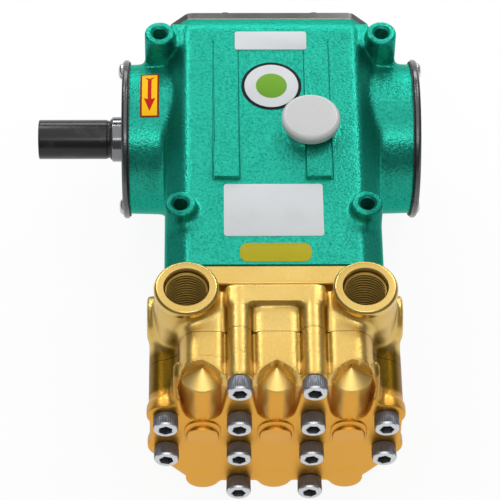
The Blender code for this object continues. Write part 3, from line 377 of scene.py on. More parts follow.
for side in SIDES:
    turned(holes[0], "X", ((side * 61.7, 31.3), (side * 84.0, 31.3), (side * 86.0, 33.3)), sides=96)
    turned(holes[1], "X", ((side * 51.0, 26.3), (side * 62.5, 26.3)))
    for x, y in POST_PLACES:
        turned(holes[1], "Z", ((38.0, 3.4), (39.5, 4.2), (58.6, 4.2), (61.0, 6.6)), (side * x, y), 32)
        turned(holes[1], "Z", ((-61.0, 4.8), (-59.4, 4.2), (-38.0, 4.2)), (side * x, y), 32)
for x in CYLINDERS:
    bore = ((-135.0, 14.3), (-119.7, 14.3), (-119.7, 8.6), (-112.0, 8.6), (-112.0, 18.3), (-45.0, 18.3))
    turned(holes[0], "Y", bore, (x, 0.0), 48)
for place in INNER_BOLT_PLACES:
    turned(holes[1], "Y", ((-135.0, 4.3), (-115.7, 4.3)), place, 24)
turned(holes[1], "Z", ((40.0, 9.0), (58.5, 9.0)), CAP_PLACE, 48)
fit(machined(case, *trims, *holes), enamel, "frame", "teal_paint", "crankcase")

# Crankshaft: a forged steel shaft with three eccentrics. The drive end is blacked and has a keyway on
# its underside; the journal that the seal runs on is ground bright.


def blacked_steel():
    finish, shade = new_finish("blacked_steel")
    bright = shade.along("X").between(-0.0966, -0.0959)
    lathe = shade.grain(900.0, 3.0, (6.0, 0.4, 0.4))
    rubbed = shade.grain(70.0, 4.0).between(0.52, 0.72)
    black = (rubbed * 0.5 + lathe * 0.3).tint((0.016, 0.016, 0.017), (0.075, 0.073, 0.070))
    return coated(
        finish, lathe, 0.00005, Base_Color=bright.tint(black, (0.20, 0.20, 0.205)),
        Metallic=bright * 0.5 + 0.5, Roughness=0.24 - bright * 0.13 + rubbed * 0.06,
    )


shaft_line = softened((
    (-141.0, 0.5), (-141.0, 12.0), (-99.2, 12.0), (-99.2, 11.5), (-97.2, 11.5), (-97.2, 12.6), (-96.2, 12.6),
    (-96.2, 13.75), (-78.0, 13.75), (-78.0, 14.7), (-61.7, 14.7), (-61.7, 18.0), (-51.0, 18.0), (-51.0, 14.0),
    (51.0, 14.0), (51.0, 18.0), (61.7, 18.0), (61.7, 14.7), (77.7, 14.7), (77.7, 0.5),
), 0.9, steps=3)
shaft = piece_from(spun("X", shaft_line, sides=72), "eccentric_shaft")
for x, phase in zip(CYLINDERS, (0.0, 120.0, 240.0)):
    centre = (-6.0 * math.cos(math.radians(phase)), 6.0 * math.sin(math.radians(phase)))
    lobe = softened(((x - 8.0, 0.5), (x - 8.0, 20.98), (x + 8.0, 20.98), (x + 8.0, 0.5)), 0.6)
    welded(shaft, spun("X", lobe, centre, 84))
keyway = block(bmesh.new(), (-142.0, -4.0, -14.0), (-113.0, 4.0, -8.0))
keyway_end = spun("Z", ((-14.0, 4.0), (-8.0, 4.0)), (-113.0, 0.0), 32)
fit(machined(shaft, keyway, keyway_end), blacked_steel(), "crankshaft", "black_steel", "crankshaft")

# Roller bearings: ground rings and rollers of bright bearing steel, pressed into the housings and onto
# the crankshaft, out of sight behind the covers.


def ground_steel():
    finish, shade = new_finish("ground_steel")
    marks = shade.grain(1300.0, 3.0, (0.3, 2.0, 2.0))
    stain = shade.grain(60.0, 3.0)
    colour = stain.between(0.35, 0.7).tint((0.60, 0.60, 0.61), (0.47, 0.46, 0.45))
    return coated(finish, marks, 0.00004, Base_Color=colour, Metallic=1.0, Roughness=0.16 + marks * 0.16)


def refinished(finish, *nodes):
    """Gives nodes that keep their own shape a new finish."""
    for node in nodes:
        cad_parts[node].data.materials.clear()
        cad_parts[node].data.materials.append(finish)


steel = ground_steel()
for place in ("drive", "blind"):
    refinished(steel, place + "_bearing_outer_ring", place + "_bearing_inner_ring")

# Connecting rods, crossheads and plungers: cast alloy rods on the eccentrics, hardened pins, steel
# crossheads that slide in their bores, and polished ceramic plungers with oil seals and packings.


def cast_alloy():
    finish, shade = new_finish("cast_alloy")
    sand = shade.grain(700.0, 4.0)
    colour = shade.grain(90.0, 3.0).between(0.35, 0.65).tint((0.34, 0.34, 0.35), (0.47, 0.47, 0.47))
    return coated(finish, sand, 0.0002, Base_Color=colour, Metallic=0.9, Roughness=0.42 + sand * 0.2)


def fired_ceramic():
    finish, shade = new_finish("fired_ceramic")
    cloud = shade.grain(120.0, 3.0)
    colour = cloud.between(0.3, 0.7).tint((0.80, 0.79, 0.74), (0.87, 0.86, 0.82))
    return coated(finish, cloud, 0.00003, Base_Color=colour, Roughness=0.10 + cloud * 0.12)


def moulded_rubber():
    finish, shade = new_finish("moulded_rubber")
    skin = shade.grain(900.0, 3.0)
    colour = shade.grain(150.0, 2.0).between(0.3, 0.7).tint((0.012, 0.012, 0.012), (0.030, 0.029, 0.028))
    return coated(finish, skin, 0.0001, Base_Color=colour, Roughness=0.50 + skin * 0.25)


def woven_packing():
    finish, shade = new_finish("woven_packing")
    weave = shade.node("TexWave", {"bands_direction": "DIAGONAL"}, {
        "Vector": shade.place(), "Scale": 420.0, "Distortion": 1.5, "Detail": 2.0,
    }, "Fac")
    colour = weave.tint((0.16, 0.09, 0.05), (0.33, 0.22, 0.13))
    return coated(finish, weave, 0.0002, Base_Color=colour, Roughness=0.75 + weave * 0.15)


alloy, ceramic, rubber, packing = cast_alloy(), fired_ceramic(), moulded_rubber(), woven_packing()
for number in (1, 2, 3):
    refinished(alloy, "connecting_rod_%d" % number)
    refinished(steel, "wrist_pin_%d" % number, "crosshead_%d" % number)
    refinished(ceramic, "plunger_%d" % number)
    refinished(rubber, "oil_seal_%d" % number)
    refinished(packing, "packing_%d" % number)

# Bearing covers: zinc-plated steel discs that close the housings, each on a thin dark gasket and held
# by two pan-head screws. The drive side's disc is open for the shaft and carries its rubber lip seal.


def zinc_plate():
    finish, shade = new_finish("zinc_plate")
    bloom = shade.node("TexVoronoi", {}, {"Vector": shade.place(), "Scale": 260.0}, "Distance")
    brushed = shade.grain(500.0, 3.0, (1.0, 3.0, 3.0))
    dull = shade.grain(55.0, 4.0).between(0.45, 0.75)
    colour = (bloom * 0.5 + dull * 0.5).tint((0.66, 0.67, 0.69), (0.43, 0.43, 0.44))
    # Painted shade: the rims of the bearing covers are painted near black, for the dark reflection along
    # their edges.
    across, up = shade.along("Y"), shade.along("Z") - 0.060
    rim = (across * across + up * up).math("POWER", 0.5).between(0.0466, 0.0472)
    rim = rim * shade.along("X").math("ABSOLUTE", 0.0).between(0.0850, 0.0854)
    return coated(
        finish, brushed, 0.00006, Base_Color=(rim * 0.85).tint(colour, (0.03, 0.03, 0.032)), Metallic=1.0,
        Roughness=0.20 + bloom * 0.10 + dull * 0.16,
    )


def gasket_paper():
    finish, shade = new_finish("gasket_paper")
    fibre = shade.grain(1100.0, 4.0)
    colour = fibre.between(0.3, 0.7).tint((0.47, 0.36, 0.25), (0.68, 0.57, 0.43))
    return coated(finish, fibre, 0.0002, Base_Color=colour, Roughness=0.85 + fibre * 0.1)


def pan_screw(axis, seat, way, at, across, turn):
    """A pan-head screw with a hexagon socket; seat is the face it bears on, way is outward."""
    radius = across / 2
    head = ((-0.3, radius), (0.9, radius), (2.0, radius * 0.9), (2.8, radius * 0.7), (3.1, radius * 0.45))
    head = [(seat + way * up, out) for up, out in head]
    screw = piece_from(spun(axis, head, at, 40), "screw")
    socket = spun("Z", ((0.8, radius * 0.42), (4.0, radius * 0.42)), sides=6)
    bmesh.ops.transform(socket, matrix=Matrix.Rotation(turn, 4, "Z"), verts=socket.verts)
    if way < 0:
        bmesh.ops.scale(socket, vec=(1.0, 1.0, -1.0), verts=socket.verts)
    place = spread(axis, at) @ Matrix.Translation((0.0, 0.0, seat))
    bmesh.ops.transform(socket, matrix=place, verts=socket.verts)
    return machined(screw, socket)


zinc, paper = zinc_plate(), gasket_paper()
for side, label in ((-1, "drive"), (1, "blind")):
    line = softened((
        (78.3, 0.5), (78.3, 31.0), (85.6, 31.0), (85.6, 47.8), (86.1, 48.3), (88.0, 48.3), (89.3, 47.2),
        (89.3, 44.6), (89.0, 44.2), (89.0, 33.0), (89.3, 32.6), (89.3, 0.5),
    ), 0.5, steps=3)
    line = [(side * x, radius) for x, radius in line]
    disc = piece_from(spun("X", line, sides=120), label + "_cover_disc")
    if side < 0:
        machined(disc, spun("X", ((-77.0, 20.3), (-88.4, 20.3), (-90.0, 21.6)), sides=72))
    else:
        machined(disc, spun("X", ((77.0, 26.3), (85.3, 26.3)), sides=72))
    fit(disc, zinc, "frame", "zinc_plate", label + "_bearing_cover")
    ring = spun("X", ((side * 84.9, 47.2), (side * 85.62, 47.2)), sides=120)
    opening = spun("X", ((side * 84.0, 31.4), (side * 86.5, 31.4)), sides=120)
    gasket = machined(piece_from(ring, label + "_cover_gasket"), opening)
    fit(gasket, rubber, "frame", "black_rubber")
    for number, (y, z) in enumerate(((29.3, 29.3), (-29.3, -29.3)), start=1):
        screw = pan_screw("X", side * 89.0, side, (y, z), 10.0, 0.4 * number)
        screw.name = "%s_cover_screw_%d" % (label, number)
        fit(screw, zinc, "frame", "zinc_plate")
seal_line = (
    (-88.3, 15.25), (-88.3, 16.6), (-87.6, 17.2), (-87.6, 18.2), (-88.3, 18.6), (-88.3, 20.0), (-80.3, 20.0),
    (-80.3, 14.05), (-84.3, 14.05),
)
seal = bmesh.new()
seal_rings = [[seal.verts.new((along, y, z)) for y, z in circle(radius, 72)] for along, radius in seal_line]
skinned(seal, seal_rings, hoop=True)
fit(piece_from(seal, "shaft_lip_seal"), rubber, "frame", "black_rubber", "shaft_seal")

# Rear cover: a grey die-cast plate with cut corners on a paper gasket, held by hexagon screws. It
# carries the oil level glass, screwed in by a black rim, and the drain plug below it.
LEVEL_PLACE, DRAIN_PLACE = (0.0, -6.0), (0.0, -34.0)
COVER_FACE = 59.4


def grey_casting():
    finish, shade = new_finish("grey_casting")
    sand = shade.grain(520.0, 4.0)
    cloud = shade.grain(45.0, 3.0)
    colour = cloud.between(0.3, 0.7).tint((0.095, 0.093, 0.090), (0.17, 0.168, 0.165))
    return coated(finish, sand, 0.00025, Base_Color=colour, Metallic=0.75, Roughness=0.36 + sand * 0.18)


def sight_glass():
    finish, shade = new_finish("sight_glass")
    oil = shade.along("Z").between(0.0525, 0.0535)
    haze = shade.grain(300.0, 2.0)
    colour = oil.tint((0.42, 0.22, 0.03), (0.74, 0.78, 0.72))
    return coated(finish, haze, 0.00004, Base_Color=colour, Roughness=0.05 + haze * 0.1, Coat_Weight=0.6)


def black_oxide():
    finish, shade = new_finish("black_oxide")
    worn = shade.grain(160.0, 4.0).between(0.5, 0.75)
    colour = worn.tint((0.020, 0.020, 0.021), (0.11, 0.105, 0.10))
    return coated(finish, worn, 0.00008, Base_Color=colour, Metallic=0.7, Roughness=0.34 + worn * 0.15)


def cover_outline(margin):
    """The rear cover's outline, drawn in by a margin."""
    right = (
        (50.0 - margin, 49.5 - margin), (61.0 - margin, 38.5 - margin), (61.0 - margin, margin - 43.0),
        (50.0 - margin, margin - 54.0),
    )
    return softened(mirrored(right), 2.5, closed=True)


def cover_shape(*steps):
    """The rear cover's outline at steps of margin and place along Y."""
    return lofted(bmesh.new(), [[(x, y, z) for x, z in cover_outline(margin)] for margin, y in steps])


def hexagon_screw(seat, at, across, height):
    """A hexagon head with a turned chamfer and a flange washer, bearing on a face that looks to +Y."""
    head = spun("Y", ((seat + 1.2, across / 2), (seat + height, across / 2)), at, 6)
    top = seat + height
    cap = ((seat + 1.0, across * 0.6), (top - 0.9, across * 0.52), (top + 0.1, across * 0.40))
    screw = machined(piece_from(head, "screw"), spun("Y", cap, at, 40), operation="INTERSECT")
    wide = across * 0.62
    washer = softened(((seat - 0.2, wide), (seat + 0.9, wide), (seat + 1.5, across * 0.45)), 0.3)
    return welded(screw, spun("Y", washer, at, 40))


plate_grey, oxide = grey_casting(), black_oxide()
gasket = piece_from(cover_shape((0.0, 53.05), (0.0, 54.35)), "rear_cover_paper")
machined(gasket, cover_shape((12.0, 52.0), (12.0, 56.0)))
fit(gasket, paper, "frame", "gasket_paper", "rear_cover_gasket")
plate = piece_from(cover_shape((0.0, 54.4), (0.0, COVER_FACE - 0.5), (0.5, COVER_FACE)), "rear_cover_plate")
machined(plate, cover_shape((15.0, 58.4), (13.5, 60.0)))
for place, pad in ((LEVEL_PLACE, 17.0), (DRAIN_PLACE, 13.5)):
    pad_line = ((57.0, pad), (59.0, pad), (COVER_FACE, pad - 0.5))
    welded(plate, spun("Y", pad_line, place, 56))
for place, bore, sides in ((LEVEL_PLACE, 10.3, 56), (DRAIN_PLACE, 7.3, 48)):
    machined(plate, spun("Y", ((53.0, bore), (61.0, bore)), place, sides))
fit(plate, plate_grey, "frame", "grey_plate", "rear_cover")
screw_places = [(x, z) for x in (-27.0, 27.0) for z in (41.5, -47.5)]
screw_places += [(x, z) for x in (-54.5, 54.5) for z in (28.0, -33.0)]
for number, at in enumerate(screw_places, start=1):
    screw = hexagon_screw(COVER_FACE, at, 9.0, 4.0)
    screw.name = "rear_cover_screw_%d" % number
    fit(screw, zinc, "frame", "zinc_plate")
rim_line = softened((
    (54.4, 9.9), (59.6, 9.9), (59.7, 14.0), (63.2, 14.0), (63.7, 12.0), (62.4, 9.6), (60.9, 9.2),
), 0.5)
rim = piece_from(spun("Y", rim_line, LEVEL_PLACE, 64), "oil_level_rim")
machined(rim, spun("Y", ((60.0, 8.6), (65.0, 8.6)), LEVEL_PLACE, 56))
fit(rim, oxide, "frame", "level_glass", "oil_level_glass")
lens_line = ((59.9, 8.5), (61.0, 8.5), (61.7, 6.6), (62.1, 3.4), (62.2, 0.4))
lens = piece_from(spun("Y", lens_line, LEVEL_PLACE, 56), "oil_level_lens")
fit(lens, sight_glass(), "frame", "level_glass")
plug = hexagon_screw(COVER_FACE + 0.3, DRAIN_PLACE, 21.0, 6.9)
plug.name = "oil_drain_screw"
welded(plug, spun("Y", ((54.4, 7.0), (61.0, 7.0)), DRAIN_PLACE, 40))
fit(plug, oxide, "frame", "black_steel", "oil_drain_plug")

# Manifold: a brass sand casting bolted to the crankcase's front. Its skin keeps the grain of the mould
# and fills its corners, while the joint faces, the two top ports and the side ports are machined.
BOLT_PLACES = [(x, z) for z in (51.8, -51.8) for x in (-20.6, 20.6)]
SIDE_BOLT_PLACES = [(x, z) for z in (15.7, -15.7) for x in (-61.8, 61.8)]
PORT_X, PORT_Y = 50.0, -157.0
GALLERY_Y, GALLERY_Z = -158.0, 31.0


def cast_brass(name, light, dark, seam, axes, smooth, core, tone):
    """Sand-cast brass with a mould seam at a place along Y. About a row of upright axes it is machined
    smooth, and the core of that zone is painted the given tone, a painted shade in the port bores and a
    painted light on the column tips."""
    finish, shade = new_finish(name)
    sand = shade.grain(760.0, 4.0)
    swell = shade.grain(150.0, 3.0)
    height = shade.along("Z")
    along = shade.along("Y") + swell * 0.0012
    aside = shade.along("X").math("ABSOLUTE", 0.0)
    first, pitch, row = axes
    across = (shade.along("X") - (first - pitch / 2)).math("FLOORED_MODULO", pitch) - pitch / 2
    deep = shade.along("Y") - row
    away = (across * across + deep * deep).math("POWER", 0.5)
    bare, inner = [
        away.between(reach + 2e-4, reach - 2e-4) * height.between(low - 2e-4, low + 2e-4)
        * (height + away * 0.583).between(top + 3e-4, top - 1e-4)
        for reach, low, top in (smooth, core)
    ]
    cells = shade.node("TexVoronoi", {}, {"Vector": shade.place(), "Scale": 190.0}, "Distance")
    pits = cells.between(0.09, 0.02) * shade.grain(60.0, 2.0).between(0.58, 0.66)
    hollow = shade.node("NewGeometry", {}, {}, "Pointiness").between(0.49, 0.42) * (1 - bare)
    colour = (shade.grain(38.0, 3.0).between(0.3, 0.7) * 0.6 + sand.between(0.3, 0.7) * 0.4).tint(dark, light)
    # Painted shade in the hollows that Pointiness finds, darkened together with the casting's real pits.
    colour = (hollow * 0.55 + pits * 0.5).tint(colour, (0.27, 0.14, 0.030))
    flash = along.between(seam - 0.0005, seam - 0.0001) * along.between(seam + 0.0005, seam + 0.0001)
    flash = flash * height.between(0.092, 0.098) * shade.grain(85.0, 3.0).between(0.46, 0.62)
    colour = (flash * 0.25).tint(colour, (0.34, 0.18, 0.04))
    # Painted shade between the ridges and down the flanks, where shade falls.
    behind = along.between(-0.2005, -0.1985)
    gap = (aside - 0.0206).math("ABSOLUTE", 0.0)
    gap = gap.between(0.0045, 0.0068) * gap.between(0.0105, 0.0085) * height.between(0.1185, 0.1145)
    flank = aside.between(0.0525, 0.0560) * height.between(0.107, 0.101) * along.between(-0.168, -0.175)
    painted_shade = gap * 0.7 * along.between(-0.160, -0.164) * behind + flank * along.between(-0.2045, -0.2025)
    colour = painted_shade.tint(colour, (0.24, 0.130, 0.009))
    # Painted shade: the front of the valve head, its pockets and columns are painted a darker orange.
    front = along.between(-0.198, -0.201) * height.between(0.1012, 0.0992) * 0.8
    colour = (front + along.between(-0.2085, -0.2112) * 0.2).tint(colour, (0.74, 0.37, 0.050))
    # The core of the machined zone is painted the given tone: painted shade in the port bores, painted light
    # on the column tips.
    colour = inner.tint(colour, tone)
    dull = away.between(0.0175, 0.0165) * along.between(-0.2112, -0.2100) * front
    relief = (sand * 0.55 + swell * 0.9 - pits * 1.2 + flash) * (1 - bare)
    return coated(
        finish, relief, 0.00022, Base_Color=colour, Metallic=1.0 - dull * 0.65,
        Roughness=0.26 + inner * 0.16 + (sand * 0.16 + hollow * 0.12 + 0.04) * (1 - bare),
    )


def brass_body(rear, start, end):
    """The bolted block from rear to end, with its three humps and the webs of the upper ridges from start."""
    right = (
        (52.0, 37.0), (56.5, 28.5), (64.0, 25.0), (68.5, 22.0), (71.0, 17.5), (71.0, -22.0), (53.0, -46.0),
        (46.0, -53.0),
    )
    shape = pushed(bmesh.new(), mirrored(right), rear, end)
    for x in CYLINDERS:
        side = math.copysign(1.0, x)
        drawn = ((-13.0, 20.0), (-13.0, 54.0), (7.5 if x else 13.0, 54.0), (13.0, 44.5), (13.0, 20.0))
        pushed(shape, softened([(x + side * px, z) for px, z in drawn], 6.0, True, 6), start, end)
    web = ((-6.0, 54.0), (6.0, 54.0), (8.6, 36.0), (8.6, 20.0), (-8.6, 20.0), (-8.6, 36.0))
    for x in (-20.6, 20.6):
        pushed(shape, [(x + px, z) for px, z in web], start, end)
    return shape


def ridges(shape, start, end):
    """Adds the round ridges that the bolts run through."""
    for places, radius in ((BOLT_PLACES, 7.2), (SIDE_BOLT_PLACES, 9.7)):
        for place in places:
            turned(shape, "Y", ((start, radius), (end, radius)), place, 40)


skin = brass_body(-139.0, -152.0, -183.0)
flange = mirrored(((51.0, 52.0), (66.0, 37.0), (66.0, -39.0), (51.0, -54.0)))
pushed(skin, softened(flange, 3.0, closed=True), -132.0, -146.3)
ridges(skin, -152.0, -183.0)
bridge = softened(((28.8, 58.6), (28.8, 20.0), (-28.8, 20.0), (-28.8, 58.6)), 6.0, closed=True)
pushed(skin, bridge, -162.6, -151.0)
for side in SIDES:
    turned(skin, "Z", ((0.0, 19.0), (48.0, 18.2), (57.0, 17.3), (62.0, 16.6)), (side * PORT_X, PORT_Y))
    turned(skin, "X", ((side * 50.0, 14.0), (side * 72.6, 12.6)), (-152.0, 26.0))
    turned(skin, "X", ((side * 50.0, 17.0), (side * 71.6, 16.0)), (GALLERY_Y, -GALLERY_Z))
manifold = cast(skin, "manifold_casting", 0.8, 40, 0.08, 110000)
trims = bmesh.new()
block(trims, (-90.0, CASE_FRONT - 0.3, -80.0), (90.0, -120.0, 80.0))
block(trims, (-90.0, -190.0, -80.0), (90.0, -180.0, 80.0))
machined(manifold, trims)
port_line = softened(((56.0, 15.0), (59.0, 18.3), (62.6, 18.3), (64.0, 16.9), (64.0, 1.0)), 0.6, steps=3)
for side in SIDES:
    welded(manifold, spun("Z", port_line, (side * PORT_X, PORT_Y), 96))
bores = [bmesh.new() for _ in range(3)]
for x in CYLINDERS:
    turned(bores[0], "Y", ((-160.3, 16.3), (-133.0, 16.3)), (x, 0.0), 48)
    turned(bores[1], "Y", ((-181.0, 10.6), (-158.0, 10.6)), (x, 0.0), 40)
    turned(bores[1], "Y", ((-181.0, 11.3), (-164.0, 11.3)), (x, GALLERY_Z), 40)
    turned(bores[1], "Y", ((-181.0, 7.0), (GALLERY_Y, 7.0)), (x, -GALLERY_Z), 32)
for places, end in ((BOLT_PLACES + SIDE_BOLT_PLACES, -171.7), (INNER_BOLT_PLACES, -133.0)):
    for place in places:
        turned(bores[0], "Y", ((-181.0, 4.3), (end, 4.3)), place, 24)
for z in (GALLERY_Z, -GALLERY_Z):
    turned(bores[2], "X", ((-60.0, 7.0), (60.0, 7.0)), (GALLERY_Y, z), 32)
machined(manifold, *bores)
thread = [(28.0, 11.0)]
for turn in range(13):
    bottom = 30.0 + turn * 2.35
    thread += [(bottom, 11.4), (bottom + 0.95, 11.4), (bottom + 1.45, 12.6), (bottom + 1.85, 12.6)]
thread += [(61.3, 11.8), (62.4, 11.9), (62.8, 12.1), (65.0, 13.6)]
mouth = ((54.0, 10.4), (56.0, 11.0), (70.0, 11.0), (71.0, 11.4), (73.6, 13.0))
for side in SIDES:
    port = spun("Z", thread, (side * PORT_X, PORT_Y), 72)
    inlet = spun("X", [(side * x, r) for x, r in mouth], (GALLERY_Y, -GALLERY_Z), 56)
    machined(manifold, port, inlet)
# The core of each top port, down its bore, is painted a dark tone as painted shade.
brass = cast_brass(
    "cast_brass", (0.74, 0.520, 0.165), (0.66, 0.445, 0.125), -0.1640, (-0.050, 0.100, -0.157),
    (0.0188, 0.1185, 0.140), (0.0124, 0.080, 0.140), (0.40, 0.26, 0.06),
)
fit(manifold, brass, "frame", "cast_brass", "manifold")

# Valve head: the front brass casting, which holds the valves. Three columns with pointed tops stand in
# pockets that open to the front, and an arched pad below each one fades into the flat face.
HEAD_FACE, COLUMN_Y = -212.0, -200.0
INNER_WALL = [(4.0, -201.7), (8.5, -205.2), (12.6, -209.2), (15.0, -213.0), (15.0, -216.0)]
OUTER_WALL = [(6.0, -200.2), (11.5, -201.6), (13.6, -204.0), (13.6, -216.0)]


def hollow(x, share, back):
    """The round hollow about a column, share of the way from its inner wall to its lip in the face."""
    flare = (
        (13.2, 10.5, 12.6), (14.5, 12.2, 14.0), (16.0, 13.2, 15.0), (18.5, 13.8, 15.8), (27.0, 14.4, 17.4),
        (36.5, 15.0, 18.8), (42.0, 16.2, 19.6), (54.0, 17.5, 20.5), (70.0, 17.5, 20.5),
    )
    line = [(z, near + (lip - near) * share) for z, near, lip in flare]
    return piece_from(spun("Z", line, (x, COLUMN_Y + back), 72), "hollow")


def drawing(piece):
    """Takes a piece back to a drawn shape."""
    drawn = bmesh.new()
    drawn.from_mesh(piece.data)
    bpy.data.objects.remove(piece)
    return drawn


def pocket(x, back):
    """A column's pocket, open to the front; its rear wall is bent to a point behind the column."""
    right = INNER_WALL if x <= 0.0 else OUTER_WALL
    left = INNER_WALL if x >= 0.0 else OUTER_WALL
    plan = [(0.0, -199.4)] + right + [(-px, py) for px, py in reversed(left)]
    plan = [[(x + px, py + back, z) for px, py in plan] for z in (10.0, 75.0)]
    return machined(hollow(x, 0.0, back), lofted(bmesh.new(), plan), operation="INTERSECT")


def lip(x, share, y):
    """The widened mouth of a pocket in front of y."""
    mouth = block(bmesh.new(), (x - 15.5, -216.0, 10.0), (x + 15.5, y, 60.0))
    return machined(hollow(x, share, 0.0), mouth, operation="INTERSECT")


skin = brass_body(-178.0, -178.0, HEAD_FACE)
for side in SIDES:
    rows = []
    for y, top in ((-195.0, 46.0), (-200.0, 42.5), (-205.5, 35.0), (HEAD_FACE, 28.0)):
        outline = ((50.0, 18.0), (51.5, top), (56.0, top), (57.6, top - 3.0), (58.4, 18.0))
        rows.append([(side * x, y, z) for x, z in outline])
    lofted(skin, rows)
rough = worked(piece_from(skin, "rough_head"), "REMESH", mode="VOXEL", voxel_size=0.8)
for x in CYLINDERS:
    machined(rough, drawing(pocket(x, 0.0)))
    for share, y in ((0.25, -207.6), (0.6, -209.8), (1.0, -211.2)):
        machined(rough, drawing(lip(x, share, y)))
skin = drawing(rough)
ridges(skin, -178.0, HEAD_FACE)
for place in SIDE_BOLT_PLACES:
    turned(skin, "Y", ((-202.5, 9.0), (-205.5, 10.9), (HEAD_FACE, 10.9)), place, 40)
for x in CYLINDERS:
    turned(skin, "Y", ((-178.0, 10.0), (-212.4, 10.0)), (x, -50.0), 48)
head = cast(skin, "valve_head_casting", 0.7, 18, 0.20, 120000)


def arch_pad(x, radius, centre, proud):
    """A pad with an arched top that stands proud at its top and runs out into the face at its foot."""
    foot = -10.0
    rows = []
    for share, reach in ((1.0, -8.0), (1.0, 0.7), (0.965, 0.93), (0.90, 1.0)):
        row = []
        for step in range(-1, 26):
            angle = math.pi * min(max(step, 0), 24) / 24
            spot_x = x + radius * share * math.cos(angle)
            spot_z = foot if step in (-1, 25) else centre + radius * share * math.sin(angle)
            rise = proud * (spot_z - foot) / (centre + radius - foot) if reach > 0 else 1.0
            row.append((spot_x, HEAD_FACE - reach * rise, spot_z))
        rows.append(row)
    return lofted(bmesh.new(), rows)


for x in CYLINDERS:
    edge = block(bmesh.new(), (x - 12.0, -208.5, 42.0), (x + 12.0, -190.0, 80.0))
    machined(head, drawing(machined(pocket(x, 0.5), edge, operation="INTERSECT")))
    column = softened(((0.0, 12.0), (40.5, 12.0), (47.2, 0.6), (47.5, 0.3)), 0.7)
    welded(head, spun("Z", column, (x, COLUMN_Y), 64))
    welded(head, arch_pad(x, 10.2, 2.2, 1.3), arch_pad(x, 9.2, -2.0, 2.8))
trim = block(bmesh.new(), (-90.0, -180.3, -80.0), (90.0, -160.0, 80.0))
bores = [bmesh.new() for _ in range(2)]
for x in CYLINDERS:
    turned(bores[0], "Y", ((-200.0, 10.6), (-179.0, 10.6)), (x, 0.0), 40)
    turned(bores[0], "Y", ((-200.0, 7.0), (-179.0, 7.0)), (x, GALLERY_Z), 32)
    turned(bores[0], "Y", ((-196.3, 11.3), (-179.0, 11.3)), (x, -GALLERY_Z), 40)
    turned(bores[1], "Z", ((-40.0, 6.5), (33.0, 6.5)), (x, COLUMN_Y), 32)
for place in BOLT_PLACES + SIDE_BOLT_PLACES + INNER_BOLT_PLACES:
    turned(bores[0], "Y", ((-216.0, 4.3), (-179.0, 4.3)), place, 24)
machined(head, trim, *bores)
# The core at each column's pointed tip is painted a lighter tone as painted light.
head_brass = cast_brass(
    "head_brass", (0.75, 0.515, 0.155), (0.67, 0.435, 0.115), -0.1958, (-0.0412, 0.0412, -0.200),
    (0.0121, 0.1003, 0.1078), (0.0121, 0.1003, 0.1078), (0.86, 0.60, 0.19),
)
fit(head, head_brass, "frame", "cast_brass", "valve_head")

# Valves and springs: turned steel discs on short stems, each held to its seat by a coil spring. A spring
# stands in the bottom of its pocket in the manifold or the valve head.
SPRING_ACROSS, SPRING_WIRE, SPRING_TURNS = 15.0, 1.6, 4.0


def coil_spring(name, start, end, at):
    """A spring along Y whose end turns are laid flat."""
    shape = bmesh.new()
    rings = []
    for step in range(121):
        turn = SPRING_TURNS * step / 120
        angle = 2 * math.pi * turn
        rise = min(max((turn - 0.55) / (SPRING_TURNS - 1.1), 0.0), 1.0)
        along = start + SPRING_WIRE / 2 + (end - start - SPRING_WIRE) * rise
        ring = []
        for side in range(10):
            about = math.pi * side / 5
            out = (SPRING_ACROSS - SPRING_WIRE + SPRING_WIRE * math.cos(about)) / 2
            x, z = at[0] + out * math.cos(angle), at[1] + out * math.sin(angle)
            ring.append(shape.verts.new((x, along + SPRING_WIRE / 2 * math.sin(about), z)))
        rings.append(ring)
    return piece_from(skinned(shape, rings), name)


for kind, free, held, z in (("inlet", -183.6, -196.0, -GALLERY_Z), ("discharge", -176.7, -164.3, GALLERY_Z)):
    for number, x in enumerate(CYLINDERS, start=1):
        refinished(steel, "%s_valve_%d" % (kind, number))
        spring = coil_spring("%s_coil_%d" % (kind, number), min(free, held), max(free, held), (x, z))
        fit(spring, steel, "frame", "bright_steel", "%s_spring_%d" % (kind, number))
        "%s_valve_%d_lift" % (kind, number)
        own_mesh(spring)

# Head bolts: twelve zinc-plated M8 cap screws with knurled heads and hexagon sockets. The four
# innermost are long and reach through the manifold into the crankcase.
SHORT_BOLT, LONG_BOLT = 40.0, 96.0
BOLT_FLUTES = 36


def knurled_zinc():
    finish, shade = new_finish("knurled_zinc")
    bloom = shade.grain(240.0, 4.0)
    # Painted shade in the creases of the knurling and the socket, which Pointiness finds; these are also
    # rougher.
    painted_shade = shade.node("NewGeometry", {}, {}, "Pointiness").between(0.50, 0.44)
    worn = shade.grain(90.0, 3.0).between(0.45, 0.7)
    # The turned front of each head is bright steel, and the band reaches back over the rounded front edge as
    # a painted highlight.
    ring = shade.along("Y").between(-0.2194, -0.2199)
    colour = (worn * 0.6 + bloom * 0.3).tint((0.20, 0.207, 0.235), (0.115, 0.118, 0.138))
    colour = ring.tint(colour, (0.62, 0.63, 0.65))
    colour = (painted_shade * 0.7).tint(colour, (0.04, 0.04, 0.04))
    return coated(
        finish, bloom, 0.00008, Base_Color=colour, Metallic=0.5 + ring * 0.5,
        Roughness=0.30 + bloom * 0.18 + painted_shade * 0.2 - ring * 0.10,
    )


